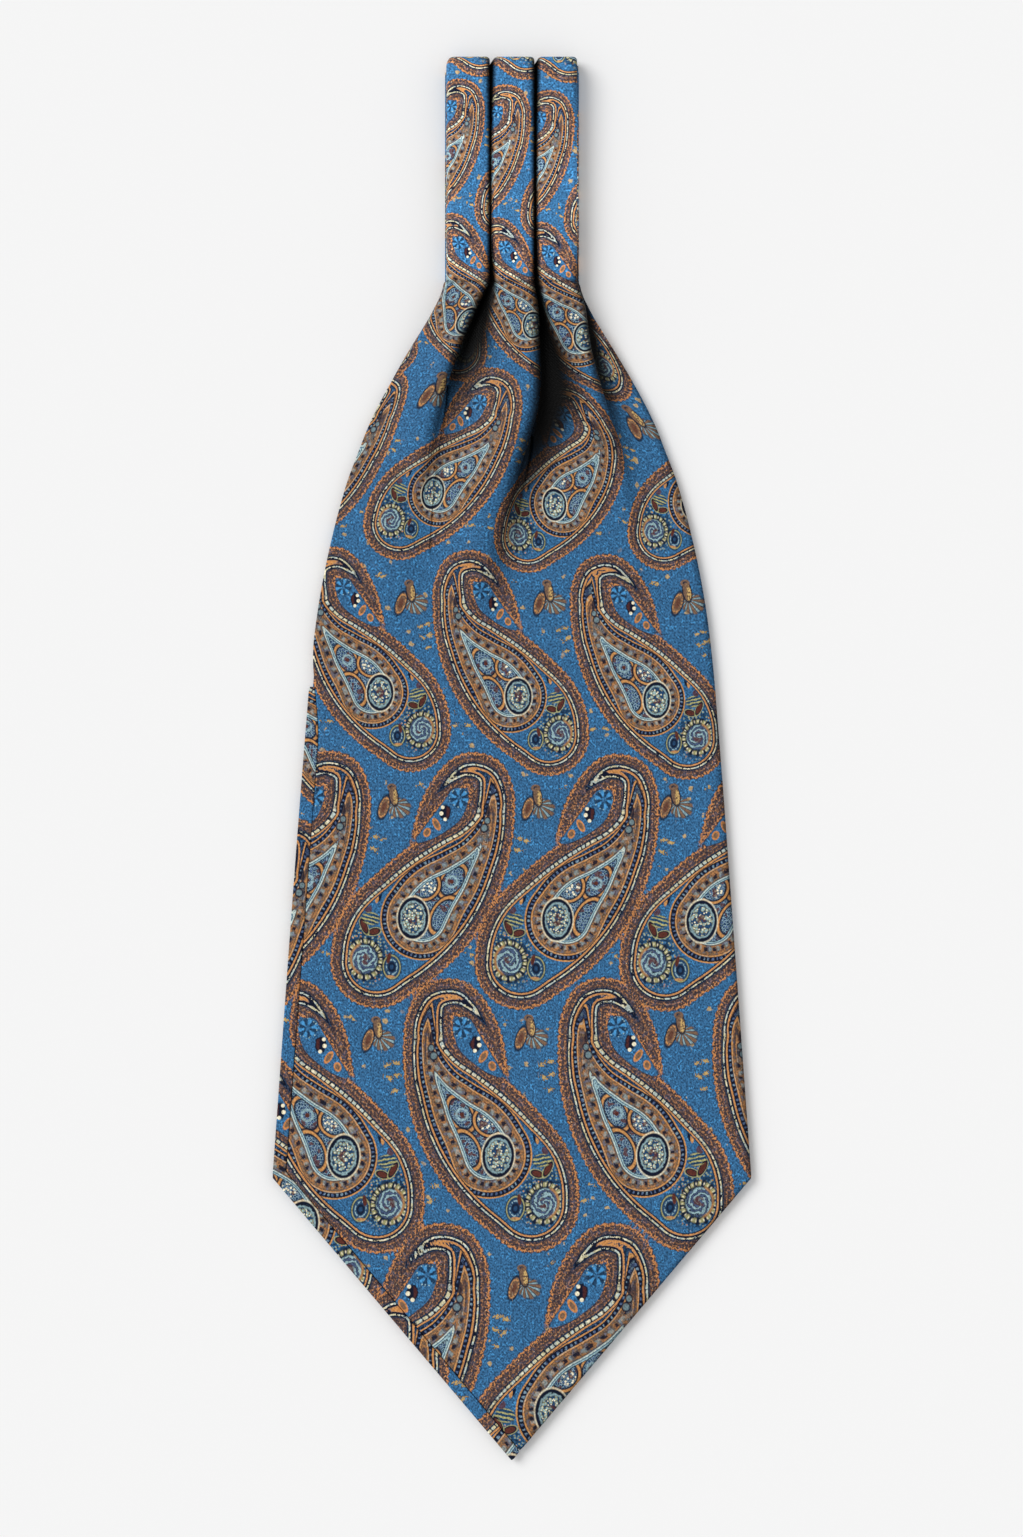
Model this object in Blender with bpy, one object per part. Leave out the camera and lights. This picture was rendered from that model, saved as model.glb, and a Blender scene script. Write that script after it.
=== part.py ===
"""A pleated silk cravat, pressed and folded in half at its neckband, lying flat.

X runs across the cravat, Y up its length and Z off the surface it lies on. The origin is the
centre of its footprint, on that surface. Lengths are in millimetres until new_piece makes them metres.
The front blade fans out of three knife pleats, and each cross-section of the cloth is one line:
a face, a turn over the pleat's edge, a run back underneath, a turn back, and the next face.
"""

import bmesh
import bpy
import numpy as np

MM = 0.001

# Driving sizes
TOTAL_LENGTH = 445.0
BLADE_WIDTH = 152.0
POINT_LENGTH = 90.0
BAND_SHOWN = 71.6
CLOTH = 1.1
SEAM_GAP = 0.3
REAR_BLADE = 1.8
REAR_INSET = 1.2
STRIP_WIDTH = 4.4
STRIP_START_DOWN = 112.0
STRIP_FULL_DOWN = 148.0
STRIP_ROWS = np.array([128, 138, 148, 160.0])
STRIP_MITRE = 2.0
STRIP_END_SHARE = 0.035

# Places along Y that follow from them
TOP_Y = TOTAL_LENGTH / 2
TIP_Y = -TOTAL_LENGTH / 2
NECK_Y = TOP_Y - BAND_SHOWN
CORNER_Y = TIP_Y + POINT_LENGTH
CORNER_DOWN = NECK_Y - CORNER_Y

# The outline of the blade: down is the distance below the neck seam
OUTLINE = np.array(
    [(0, 21.3), (4, 22.4), (8, 24.3), (12, 26.5), (16, 29.0), (24, 34.0), (32, 38.7), (39, 42.5),
     (46, 45.8), (54, 48.9), (61, 51.6), (72, 54.9), (82, 57.4), (100, 61.0), (120, 63.6), (140, 65.3),
     (160, 66.9), (CORNER_DOWN, BLADE_WIDTH / 2)],
    dtype=[("down", float), ("half_width", float)],
)

# Each pleat, from the neck seam down: where its edge lies, how far its cloth turns over,
# the length of that turn, and the length that runs back underneath
PLEAT_COLUMNS = [("down", float), ("edge_x", float), ("turn_deg", float), ("turn", float), ("run", float)]
LEFT_PLEAT = np.array(
    [(0, -7.0, 180, 2.2, 9.4), (8, -10.9, 180, 2.7, 7.6), (16, -14.3, 180, 3.4, 4.4),
     (24, -17.4, 165, 3.8, 1.6), (32, -20.2, 135, 3.4, 0.7), (40, -22.6, 90, 3.0, 0.7),
     (50, -25.0, 56, 2.9, 0.8), (60, -27.0, 36, 3.0, 1.0), (80, -30.0, 16, 3.5, 1.4),
     (100, -32.5, 6, 4.5, 2.2), (130, -36.0, 0, 7.0, 4.0), (CORNER_DOWN, -45.5, 0, 8.0, 5.0)],
    dtype=PLEAT_COLUMNS,
)
MIDDLE_PLEAT = np.array(
    [(0, 7.1, 180, 2.2, 8.8), (8, 8.4, 180, 2.7, 8.6), (16, 8.7, 180, 3.4, 8.0),
     (24, 8.9, 180, 4.0, 6.6), (32, 9.0, 180, 4.4, 4.2), (40, 8.3, 172, 4.5, 1.5),
     (50, 5.5, 120, 3.7, 0.8), (60, 2.2, 76, 3.4, 0.8), (72, -1.2, 48, 3.6, 0.9),
     (86, -4.6, 29, 4.2, 1.2), (100, -7.0, 16, 4.9, 1.7), (120, -8.0, 6, 6.0, 3.0),
     (150, -6.5, 0, 7.5, 4.0), (CORNER_DOWN, -2.5, 0, 8.0, 5.0)],
    dtype=PLEAT_COLUMNS,
)
RIGHT_PLEAT = np.array(
    [(0, 20.6, 180, 2.2, 3.8), (8, 23.2, 180, 2.6, 3.0), (16, 24.3, 180, 2.9, 1.6),
     (24, 25.8, 160, 2.8, 0.8), (32, 28.0, 120, 2.6, 0.7), (40, 30.5, 82, 2.5, 0.7),
     (50, 33.5, 50, 2.6, 0.8), (60, 36.0, 32, 2.6, 1.0), (80, 39.6, 14, 3.2, 1.4),
     (100, 41.4, 5, 4.5, 2.2), (130, 42.2, 0, 7.0, 4.0), (CORNER_DOWN, 40.5, 0, 8.0, 5.0)],
    dtype=PLEAT_COLUMNS,
)
PLEATS = (LEFT_PLEAT, MIDDLE_PLEAT, RIGHT_PLEAT)

# The neckband's fold: its layers go round a bend of this inner radius, half way up the stack
FOLD_INNER = 0.4
BAND_STACK = 4 * (CLOTH + SEAM_GAP) / 2 + CLOTH
FOLD_MID_Z = BAND_STACK + FOLD_INNER
FOLD_Y = TOP_Y - FOLD_INNER - BAND_STACK
BAND_HALF_WIDTH = 20.9

# Heights of the front cloth's middle: low at the edges, lifted by the band folded beneath the neck
LOW_Z = REAR_BLADE + SEAM_GAP + CLOTH / 2
NECK_Z = FOLD_MID_Z + FOLD_INNER + CLOTH / 2
LIFT_END_DOWN = 120.0
LIFT_HALF_WIDTH = 21.0
LIFT_SHOULDER = 17.0
CROWN = 0.8

# The hidden layers: how much of the lift they fill, and how deep the grooves between them are
HIDDEN_FILL = 0.75
HIDDEN_GROOVE = 0.3
HIDDEN_LAYERS = 3
HIDDEN_PEEK = 0.3

# How finely each stretch of a section is divided, as shares of its length
LEFT_FACE = np.array([0, 0.03, 0.12, 0.3, 0.52, 0.76])
INNER_FACE = np.array([0, 0.2, 0.4, 0.6, 0.8])
LAST_FACE_STEPS = 7
TURN_STEPS = 5
POINT_ROWS = 9
RIM = 0.3
LEAST_TURN_DEG = 0.4


def read(table, column, down):
    """A column of a table at one or more places down the blade, on a smooth curve through its rows."""
    x, y = table["down"], table[column]
    slopes = np.gradient(y, x)
    down = np.clip(down, x[0], x[-1])
    row = np.clip(np.searchsorted(x, down, side="right") - 1, 0, len(x) - 2)
    step = x[row + 1] - x[row]
    t = (down - x[row]) / step
    return (
        y[row] * (1 + 2 * t) * (1 - t) ** 2
        + slopes[row] * step * t * (1 - t) ** 2
        + y[row + 1] * t * t * (3 - 2 * t)
        + slopes[row + 1] * step * t * t * (t - 1)
    )


def ease(t):
    """0 below 0, 1 above 1, and a smooth rise between."""
    t = np.clip(t, 0, 1)
    return t * t * (3 - 2 * t)


def outline_half_width(y):
    """Half the cravat's width at any Y: the neck, the flaring sides, and the point."""
    sides = read(OUTLINE, "half_width", NECK_Y - y)
    point = BLADE_WIDTH / 2 * (y - TIP_Y) / POINT_LENGTH
    return np.where(y >= CORNER_Y, sides, np.maximum(point, 0))


def base_height(x, y):
    """Height of the front cloth's middle where it has no pleat, over the layers that lie beneath it."""
    lift = (NECK_Z - LOW_Z) * (1 - ease((NECK_Y - y) / LIFT_END_DOWN))
    shoulder = 1 - ease((np.abs(x) - LIFT_HALF_WIDTH) / LIFT_SHOULDER)
    half = np.maximum(outline_half_width(y), 1)
    across = np.clip(1 - (x / half) ** 2, 0, 1)
    crown = CROWN * np.minimum(1, half / 45) * ease((NECK_Y - y) / 90)
    return LOW_Z + lift * shoulder + crown * across


def pleat_section(down, left_x, right_x):
    """One cross-section of the pleated cloth, as (x, height above its base), from left to right."""
    points = []
    start_x, climb_x = left_x, left_x
    opened = ease(down / 34)
    for number, table in enumerate(PLEATS):
        edge_x, degrees, turn, run = (float(read(table, c, down)) for c in ("edge_x", "turn_deg", "turn", "run"))
        angle = np.radians(max(degrees, LEAST_TURN_DEG))
        radius = turn / angle
        ridge_x = edge_x - CLOTH / 2 - radius * np.sin(min(angle, np.pi / 2))
        ridge = 2 * radius * (1 - np.cos(angle)) + run * np.sin(angle)
        width = ridge_x - climb_x
        if number == 0:
            points += left_face(climb_x, width, ridge, opened)
        else:
            points += [(start_x, 0.0)] + inner_face(climb_x, width, ridge, opened)
        sweep = np.linspace(0, angle, TURN_STEPS + 1)
        points += [(ridge_x + radius * np.sin(a), ridge - radius * (1 - np.cos(a))) for a in sweep]
        centre_x = ridge_x + 2 * radius * np.sin(angle) + run * np.cos(angle)
        points += [(centre_x - radius * np.sin(a), radius * (1 - np.cos(a))) for a in sweep[::-1][:-1]]
        start_x = centre_x
        climb_x = max(start_x + 0.02, edge_x - 0.3)
    last = np.linspace(start_x, right_x, LAST_FACE_STEPS)
    return np.array(points + [(x, 0.0) for x in last])


def left_face(start_x, width, ridge, opened):
    """The first pleat's face: a rounded side at the neck, opening into a long slope up to its ridge."""
    round_side = np.sqrt(1 - (1 - np.clip(LEFT_FACE / 0.14, 0, 1)) ** 2)
    height = ridge * (round_side * (1 - opened) + ease(LEFT_FACE / 0.95) * opened)
    return list(zip(start_x + width * LEFT_FACE, height))


def inner_face(climb_x, width, ridge, opened):
    """A later pleat's face: a short climb out of the groove at the neck, opening into a long slope."""
    share = INNER_FACE * ((1 - opened) * (0.35 + 0.65 * INNER_FACE) + opened)
    return list(zip(climb_x + width * share, ridge * ease(share / (0.2 + 0.75 * opened))))


def row_places():
    """How far below the neck seam each straight row of the blade lies."""
    return np.concatenate([np.arange(0, 64, 4.0), [66, 74, 84, 96, 108, 118], STRIP_ROWS])


def strip_inset(down):
    """How far the front blade's left side stops short of the outline, to leave room for the edge strip."""
    return STRIP_WIDTH * ease((down - STRIP_START_DOWN) / (STRIP_FULL_DOWN - STRIP_START_DOWN))


def point_corners():
    """The front blade's own corners at the point: left, tip and right, inside the strip and the rims."""
    left = np.array([STRIP_WIDTH + RIM * CLOTH - BLADE_WIDTH / 2, CORNER_Y + STRIP_MITRE])
    right = np.array([BLADE_WIDTH / 2 - RIM * CLOTH, CORNER_Y])
    bottom = np.array([0, TIP_Y + 2 * RIM * CLOTH])
    return left, bottom + (right - bottom) * STRIP_END_SHARE, right


def front_blade_grid():
    """The middle of the front blade's cloth, as rows from the neck to the point."""
    rows = []
    for down in row_places():
        y = NECK_Y - SEAM_GAP / 2 - down
        half = float(outline_half_width(y))
        section = pleat_section(down, -half + strip_inset(down) + RIM * CLOTH, half - RIM * CLOTH)
        rows.append(np.column_stack([section[:, 0], np.full(len(section), y), section[:, 1]]))
    start = rows[-1]
    end = point_row(start[:, 0])
    rows += [start + (end - start) * t for t in np.linspace(0, 1, POINT_ROWS + 1)[1:]]
    grid = np.array(rows)
    grid[:, :, 2] += base_height(grid[:, :, 0], grid[:, :, 1])
    return grid


def point_row(x):
    """The last row: the two sloping edges of the point, with the columns of the row above spread over them."""
    left, tip, right = point_corners()
    share = np.where(x < 0, x / x[0], x / x[-1])[:, None]
    corner = np.where((x < 0)[:, None], left, right)
    return np.column_stack([tip + (corner - tip) * share, np.zeros(len(x))])


def strip_grid():
    """The middle of the strip along the left side and the left edge of the point."""
    left, tip, _ = point_corners()
    down = np.concatenate([STRIP_ROWS, np.linspace(STRIP_ROWS[-1], CORNER_DOWN, 5)[1:]])
    y = NECK_Y - SEAM_GAP / 2 - down
    apart = 2 * RIM * CLOTH + SEAM_GAP
    edge = np.column_stack([strip_inset(down) + RIM * CLOTH - outline_half_width(y), y])
    edge[-1] = left
    slope = (tip - left) / np.linalg.norm(tip - left)
    outward = np.array([slope[1], -slope[0]])
    inner = edge - (apart, 0)
    inner[-1, 1] -= apart * (1 + outward[0]) / -outward[1]
    outer = np.column_stack([RIM * CLOTH - outline_half_width(y), y])
    outer[-1, 1] = CORNER_Y
    along = np.linspace(0, 1, 9)[1:, None]
    outer = np.vstack([outer, outer[-1] + (np.array([0, TIP_Y + 2 * RIM * CLOTH]) - outer[-1]) * along])
    inner = np.vstack([inner, inner[-1] + (tip + outward * apart - inner[-1]) * along])
    across = np.linspace(0, 1, 4)[None, :, None]
    flat = outer[:, None, :] + (inner - outer)[:, None, :] * across
    return np.dstack([flat, base_height(flat[:, :, 0], flat[:, :, 1])])


def normals_of(grid, flat_ends):
    """Unit normals of a grid of points. A row in flat_ends keeps them in its own plane."""
    across = np.gradient(grid, axis=1)
    along = np.gradient(grid, axis=0)
    for row in flat_ends:
        along[row] = (0, -1, 0)
    normals = np.cross(along, across)
    return normals / np.linalg.norm(normals, axis=2, keepdims=True)


def cloth_wall(grid, flat_ends=()):
    """Points and faces of a cloth wall round a grid, closed by a rounded rim, but for its flat ends."""
    rows, columns = grid.shape[:2]
    offset = normals_of(grid, flat_ends) * CLOTH / 2
    top = (grid + offset).reshape(-1, 3)
    bottom = (grid - offset).reshape(-1, 3)
    index = np.arange(rows * columns).reshape(rows, columns)
    loop = np.concatenate([index[0, :-1], index[:-1, -1], index[-1, :0:-1], index[:0:-1, 0]])
    inner = np.concatenate([index[1, :-1], index[:-1, -2], index[-2, :0:-1], index[:0:-1, 1]])
    middle = grid.reshape(-1, 3)
    outward = middle[loop] - middle[inner]
    outward /= np.linalg.norm(outward, axis=1, keepdims=True)
    amount = np.full(len(loop), RIM * CLOTH)
    for row in flat_ends:
        amount[np.isin(loop, index[row])] = 0
    rim = middle[loop] + outward * amount[:, None]
    count = rows * columns
    quads = np.stack([index[:-1, :-1], index[1:, :-1], index[1:, 1:], index[:-1, 1:]], axis=-1).reshape(-1, 4)
    after = np.roll(np.arange(len(loop)), -1)
    rims = 2 * count + np.arange(len(loop))
    upper = np.column_stack([loop, rims, rims[after], loop[after]])
    lower = np.column_stack([rims, loop + count, loop[after] + count, rims[after]])
    return np.vstack([top, bottom, rim]), np.vstack([quads, quads[:, ::-1] + count, upper[:, ::-1], lower[:, ::-1]])


def new_piece(name, points, faces, colour):
    """A closed mesh object from points in millimetres, with its own material."""
    mesh = bpy.data.meshes.new(name)
    mesh.from_pydata((np.asarray(points) * MM).tolist(), [], list(map(list, faces)))
    shape = bmesh.new()
    shape.from_mesh(mesh)
    bmesh.ops.remove_doubles(shape, verts=shape.verts, dist=0.01 * MM)
    bmesh.ops.recalc_face_normals(shape, faces=shape.faces)
    shape.to_mesh(mesh)
    shape.free()
    mesh.shade_smooth()
    material = bpy.data.materials.new(name)
    material.use_nodes = True
    surface = material.node_tree.nodes["Principled BSDF"]
    surface.inputs["Base Color"].default_value = (*colour, 1)
    surface.inputs["Roughness"].default_value = 0.45
    surface.inputs["Metallic"].default_value = 0
    mesh.materials.append(material)
    piece = bpy.data.objects.new(name, mesh)
    bpy.context.scene.collection.objects.link(piece)
    return piece


def front_blade():
    points, faces = cloth_wall(front_blade_grid(), flat_ends=(0,))
    return new_piece("front_blade", points, faces, (0.055, 0.205, 0.45))


def neckband():
    """The pleated band, from the neck seam up to its fold, round it and down to the surface."""
    section = pleat_section(0, 0.3 + RIM * CLOTH - BAND_HALF_WIDTH, BAND_HALF_WIDTH + 0.1 - RIM * CLOTH)
    x, height = section[:, 0], FOLD_INNER + CLOTH / 2 + section[:, 1]
    rows = []
    for angle in np.linspace(np.pi, 0, 13):
        rows.append(np.column_stack([x, FOLD_Y + height * np.sin(angle), FOLD_MID_Z + height * np.cos(angle)]))
    for y in np.linspace(FOLD_Y, NECK_Y + SEAM_GAP / 2, 5)[1:]:
        rows.append(np.column_stack([x, np.full(len(x), y), FOLD_MID_Z + height]))
    points, faces = cloth_wall(np.array(rows), flat_ends=(-1,))
    return new_piece("neckband", points, faces, (0.075, 0.22, 0.46))


def side_facing():
    points, faces = cloth_wall(strip_grid())
    return new_piece("side_facing", points, faces, (0.05, 0.19, 0.42))


def hidden_ring(y):
    """A ring round the hidden layers at one Y: flat below, grooved at both sides, following the lift above."""
    band = 1 - ease((NECK_Y - y) / 10)
    half = outline_half_width(y) - REAR_INSET
    half = half + (BAND_HALF_WIDTH + HIDDEN_PEEK - half) * band
    lift = HIDDEN_FILL * (NECK_Z - LOW_Z)
    across = np.sin(np.linspace(-1, 1, 11) * np.pi / 2) * (half - HIDDEN_GROOVE)
    fade = 1 - ease((NECK_Y - y) / LIFT_END_DOWN)
    shoulder = 1 - ease((np.abs(across) - LIFT_HALF_WIDTH) / LIFT_SHOULDER)
    top = REAR_BLADE + lift * fade * shoulder
    below = np.column_stack([across, np.zeros(len(across))])
    above = np.column_stack([across, top])[::-1]
    edge_height = above[0, 1]
    steps = np.arange(1, 2 * HIDDEN_LAYERS)
    inward = np.where(steps % 2 == 1, 0, HIDDEN_GROOVE)
    side = np.column_stack([half - inward, edge_height * steps / (2 * HIDDEN_LAYERS)])
    other = side[::-1] * (-1, 1)
    ring = np.vstack([below, side, above, other])
    return np.column_stack([ring[:, 0], np.full(len(ring), y), ring[:, 1]])


def hidden_layers():
    """The rear blade and the folded-in rest of the band, as one solid that lies flat on the surface."""
    top_y = FOLD_Y - RIM * CLOTH - SEAM_GAP
    band = np.linspace(top_y, NECK_Y, 4)[:-1]
    flare = NECK_Y - np.array([0, 3, 6, 10, 15, 20, 26, 32, 39, 46, 54, 63, 74, 88, 104, 122, 150, 190, 235])
    point = np.linspace(CORNER_Y, TIP_Y + 2 * REAR_INSET, 8)
    rings = np.array([hidden_ring(y) for y in np.concatenate([band, flare, point])])
    count, size = rings.shape[:2]
    index = np.arange(count * size).reshape(count, size)
    after = np.roll(index, -1, axis=1)
    sides = np.stack([index[:-1], index[1:], after[1:], after[:-1]], axis=-1).reshape(-1, 4).tolist()
    faces = sides + [index[0].tolist(), index[-1, ::-1].tolist()]
    return new_piece("hidden_layers", rings.reshape(-1, 3), faces, (0.045, 0.15, 0.33))


def remove_everything():
    for old in list(bpy.data.objects):
        bpy.data.objects.remove(old)


remove_everything()
front_blade()
neckband()
side_facing()
hidden_layers()
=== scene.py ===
# %% [markdown]
# # A pleated silk cravat, laid flat
#
# The real thing is a long strip of printed silk with a broad pointed blade at each end. Its middle
# is pressed into three knife pleats to make the neckband. Here it is folded in half at that band and
# laid on a table, so one blade and one half of the band lie on top of the others. This lesson dresses
# the solid model of it: fine cloth over the same form, and then the printed paisley.

import bpy
import numpy as np
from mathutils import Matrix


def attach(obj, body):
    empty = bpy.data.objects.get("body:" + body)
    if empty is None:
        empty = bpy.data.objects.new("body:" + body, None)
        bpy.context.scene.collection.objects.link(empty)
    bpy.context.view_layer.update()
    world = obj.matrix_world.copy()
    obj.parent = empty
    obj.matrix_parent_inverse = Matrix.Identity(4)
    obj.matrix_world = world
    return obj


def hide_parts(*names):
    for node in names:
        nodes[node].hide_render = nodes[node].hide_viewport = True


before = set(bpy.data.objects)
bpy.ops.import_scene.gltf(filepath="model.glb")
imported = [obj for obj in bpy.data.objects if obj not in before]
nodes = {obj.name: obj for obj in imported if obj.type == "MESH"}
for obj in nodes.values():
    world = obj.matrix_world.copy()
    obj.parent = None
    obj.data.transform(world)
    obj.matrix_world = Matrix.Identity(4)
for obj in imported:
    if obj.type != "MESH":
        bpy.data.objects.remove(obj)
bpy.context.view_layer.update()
print("solid model:", sorted(nodes))

# %% [markdown]
# ## Sizes
#
# Everything follows from the same driving sizes as the solids, in millimetres. The tables say where
# each pleat's edge lies on the way down, and how far its cloth turns over and runs back underneath.

# %% Driving sizes
MM = 0.001
TOTAL_LENGTH = 445.0
BLADE_WIDTH = 152.0
POINT_LENGTH = 90.0
BAND_SHOWN = 71.6
CLOTH = 1.1
SEAM_GAP = 0.3
SEAM_SHOWN = 0.04
REAR_BLADE = 1.8
REAR_INSET = 1.2
STRIP_WIDTH = 4.4
STRIP_START_DOWN, STRIP_FULL_DOWN = 112.0, 148.0
STRIP_ROWS_START, STRIP_ROWS_END = 128.0, 160.0
STRIP_MITRE = 2.0
STRIP_END_SHARE = 0.035

TOP_Y, TIP_Y = TOTAL_LENGTH / 2, -TOTAL_LENGTH / 2
NECK_Y = TOP_Y - BAND_SHOWN
CORNER_Y = TIP_Y + POINT_LENGTH
CORNER_DOWN = NECK_Y - CORNER_Y

FOLD_INNER = 0.4
BAND_STACK = 4 * (CLOTH + SEAM_GAP) / 2 + CLOTH
FOLD_MID_Z = BAND_STACK + FOLD_INNER
FOLD_Y = TOP_Y - FOLD_INNER - BAND_STACK
BAND_HALF_WIDTH = 20.9
LOW_Z = REAR_BLADE + SEAM_GAP + CLOTH / 2
NECK_Z = FOLD_MID_Z + FOLD_INNER + CLOTH / 2
LIFT_END_DOWN, LIFT_HALF_WIDTH, LIFT_SHOULDER = 120.0, 21.0, 17.0
CROWN, CROWN_HALF_WIDTH, CROWN_DOWN = 0.8, 45, 90
RIM = 0.3
HIDDEN_FILL, HIDDEN_GROOVE, HIDDEN_LAYERS, HIDDEN_PEEK = 0.75, 0.3, 3, 0.3
HIDDEN_RISE_DOWN = 10
print(f"{TOTAL_LENGTH:g} mm long and {BLADE_WIDTH:g} mm wide")
print(f"blade {NECK_Y - TIP_Y:.0f} mm, band {BAND_SHOWN:g} mm")

# %% Tables of the outline and of the three pleats, by distance below the neck seam
OUTLINE = np.array(
    [(0, 21.3), (4, 22.4), (8, 24.3), (12, 26.5), (16, 29.0), (24, 34.0), (32, 38.7), (39, 42.5),
     (46, 45.8), (54, 48.9), (61, 51.6), (72, 54.9), (82, 57.4), (100, 61.0), (120, 63.6), (140, 65.3),
     (160, 66.9), (CORNER_DOWN, BLADE_WIDTH / 2)],
    dtype=[("down", float), ("half_width", float)],
)
PLEAT_COLUMNS = [("down", float), ("edge_x", float), ("turn_deg", float), ("turn", float), ("run", float)]
LEFT_PLEAT = np.array(
    [(0, -7.0, 180, 2.2, 5.4), (8, -10.9, 180, 2.7, 2.8), (16, -14.3, 180, 3.4, 0.8),
     (24, -17.4, 165, 3.8, 0.6), (32, -20.2, 135, 3.4, 0.6), (40, -22.6, 90, 3.0, 0.7),
     (50, -25.0, 56, 2.9, 0.8), (60, -27.0, 36, 3.0, 1.0), (80, -30.0, 16, 3.5, 1.4),
     (100, -32.5, 6, 4.5, 2.2), (130, -36.0, 0, 7.0, 4.0), (CORNER_DOWN, -45.5, 0, 8.0, 5.0)],
    dtype=PLEAT_COLUMNS,
)
MIDDLE_PLEAT = np.array(
    [(0, 7.1, 180, 2.2, 5.8), (8, 8.4, 180, 2.7, 5.6), (16, 8.7, 180, 3.4, 5.2),
     (24, 8.9, 180, 4.0, 4.6), (32, 9.0, 180, 4.4, 3.5), (40, 8.3, 172, 4.5, 1.5),
     (50, 5.5, 120, 3.7, 0.8), (60, 2.2, 76, 3.4, 0.8), (72, -1.2, 48, 3.6, 0.9),
     (86, -4.6, 29, 4.2, 1.2), (100, -7.0, 16, 4.9, 1.7), (120, -8.0, 6, 6.0, 3.0),
     (150, -6.5, 0, 7.5, 4.0), (CORNER_DOWN, -2.5, 0, 8.0, 5.0)],
    dtype=PLEAT_COLUMNS,
)
RIGHT_PLEAT = np.array(
    [(0, 20.6, 180, 2.2, 3.8), (8, 23.2, 180, 2.6, 3.0), (16, 24.3, 180, 2.9, 1.6),
     (24, 25.8, 160, 2.8, 0.8), (32, 28.0, 120, 2.6, 0.7), (40, 30.5, 82, 2.5, 0.7),
     (50, 33.5, 50, 2.6, 0.8), (60, 36.0, 32, 2.6, 1.0), (80, 39.6, 14, 3.2, 1.4),
     (100, 41.4, 5, 4.5, 2.2), (130, 42.2, 0, 7.0, 4.0), (CORNER_DOWN, 40.5, 0, 8.0, 5.0)],
    dtype=PLEAT_COLUMNS,
)
PLEATS = (LEFT_PLEAT, MIDDLE_PLEAT, RIGHT_PLEAT)
print("pleats:", len(PLEATS), "edges at the neck:", [float(p["edge_x"][0]) for p in PLEATS])

# %% [markdown]
# ## Reading the tables, and the ground the cloth lies on
#
# A table gives a value every few millimetres. A cubic through its rows, with the slope of its
# neighbours at each row, keeps the cloth free of kinks. The front blade lies on the folded band near
# the neck, so its base is lifted there and sinks to the rear blade lower down.

# %% Smooth reading of a table, and the base the front cloth lies on
def read(x, y, at):
    """A value at any place: a cubic through the rows (x, y), with each row's slope from its neighbours."""
    slopes = np.gradient(y, x)
    at = np.clip(at, x[0], x[-1])
    row = np.clip(np.searchsorted(x, at, side="right") - 1, 0, len(x) - 2)
    step = x[row + 1] - x[row]
    t = (at - x[row]) / step
    start = y[row] * (1 + 2 * t) + slopes[row] * step * t
    end = y[row + 1] * (3 - 2 * t) - slopes[row + 1] * step * (1 - t)
    return start * (1 - t) ** 2 + end * t * t


def ease(t):
    """3t² - 2t³: 0 below 0, 1 above 1, and a smooth rise between."""
    t = np.clip(t, 0, 1)
    return t * t * (3 - 2 * t)


def outline_half_width(y):
    """Half the width at Y: the table down to the corners, then straight in to the tip."""
    sides = read(OUTLINE["down"], OUTLINE["half_width"], NECK_Y - y)
    point = BLADE_WIDTH / 2 * (y - TIP_Y) / POINT_LENGTH
    return np.where(y >= CORNER_Y, sides, np.maximum(point, 0))


def base_height(x, y):
    """The rear blade's height, plus the lift over the folded band, plus a slight crown across."""
    lift = (NECK_Z - LOW_Z) * (1 - ease((NECK_Y - y) / LIFT_END_DOWN))
    shoulder = 1 - ease((np.abs(x) - LIFT_HALF_WIDTH) / LIFT_SHOULDER)
    half = np.maximum(outline_half_width(y), 1)
    across = np.clip(1 - (x / half) ** 2, 0, 1)
    crown = CROWN * np.minimum(1, half / CROWN_HALF_WIDTH) * ease((NECK_Y - y) / CROWN_DOWN)
    return LOW_Z + lift * shoulder + crown * across


print(f"lift under the neck: {NECK_Z - LOW_Z:.2f} mm")

# %% [markdown]
# ## The pleated section
#
# A knife pleat is a Z in the cloth: a face, a turn over the pleat's edge, a run back underneath, and
# a turn forward into the next face. Down the blade the turns open out until nothing is left of them.
# A curve walked along by its turning angle gives all of these with one formula, and it never
# stretches the silk, so the print can follow the same walk.

# %% Sections across the pleated cloth, all rows at once
FACE_COLUMNS = 21
TURN_COLUMNS = 8
RUN_COLUMNS = 5
LEAST_TURN_DEG = 0.4
ROUND_SIDE_SHARE = 0.14
PLEATS_OPEN_DOWN = 34


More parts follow.
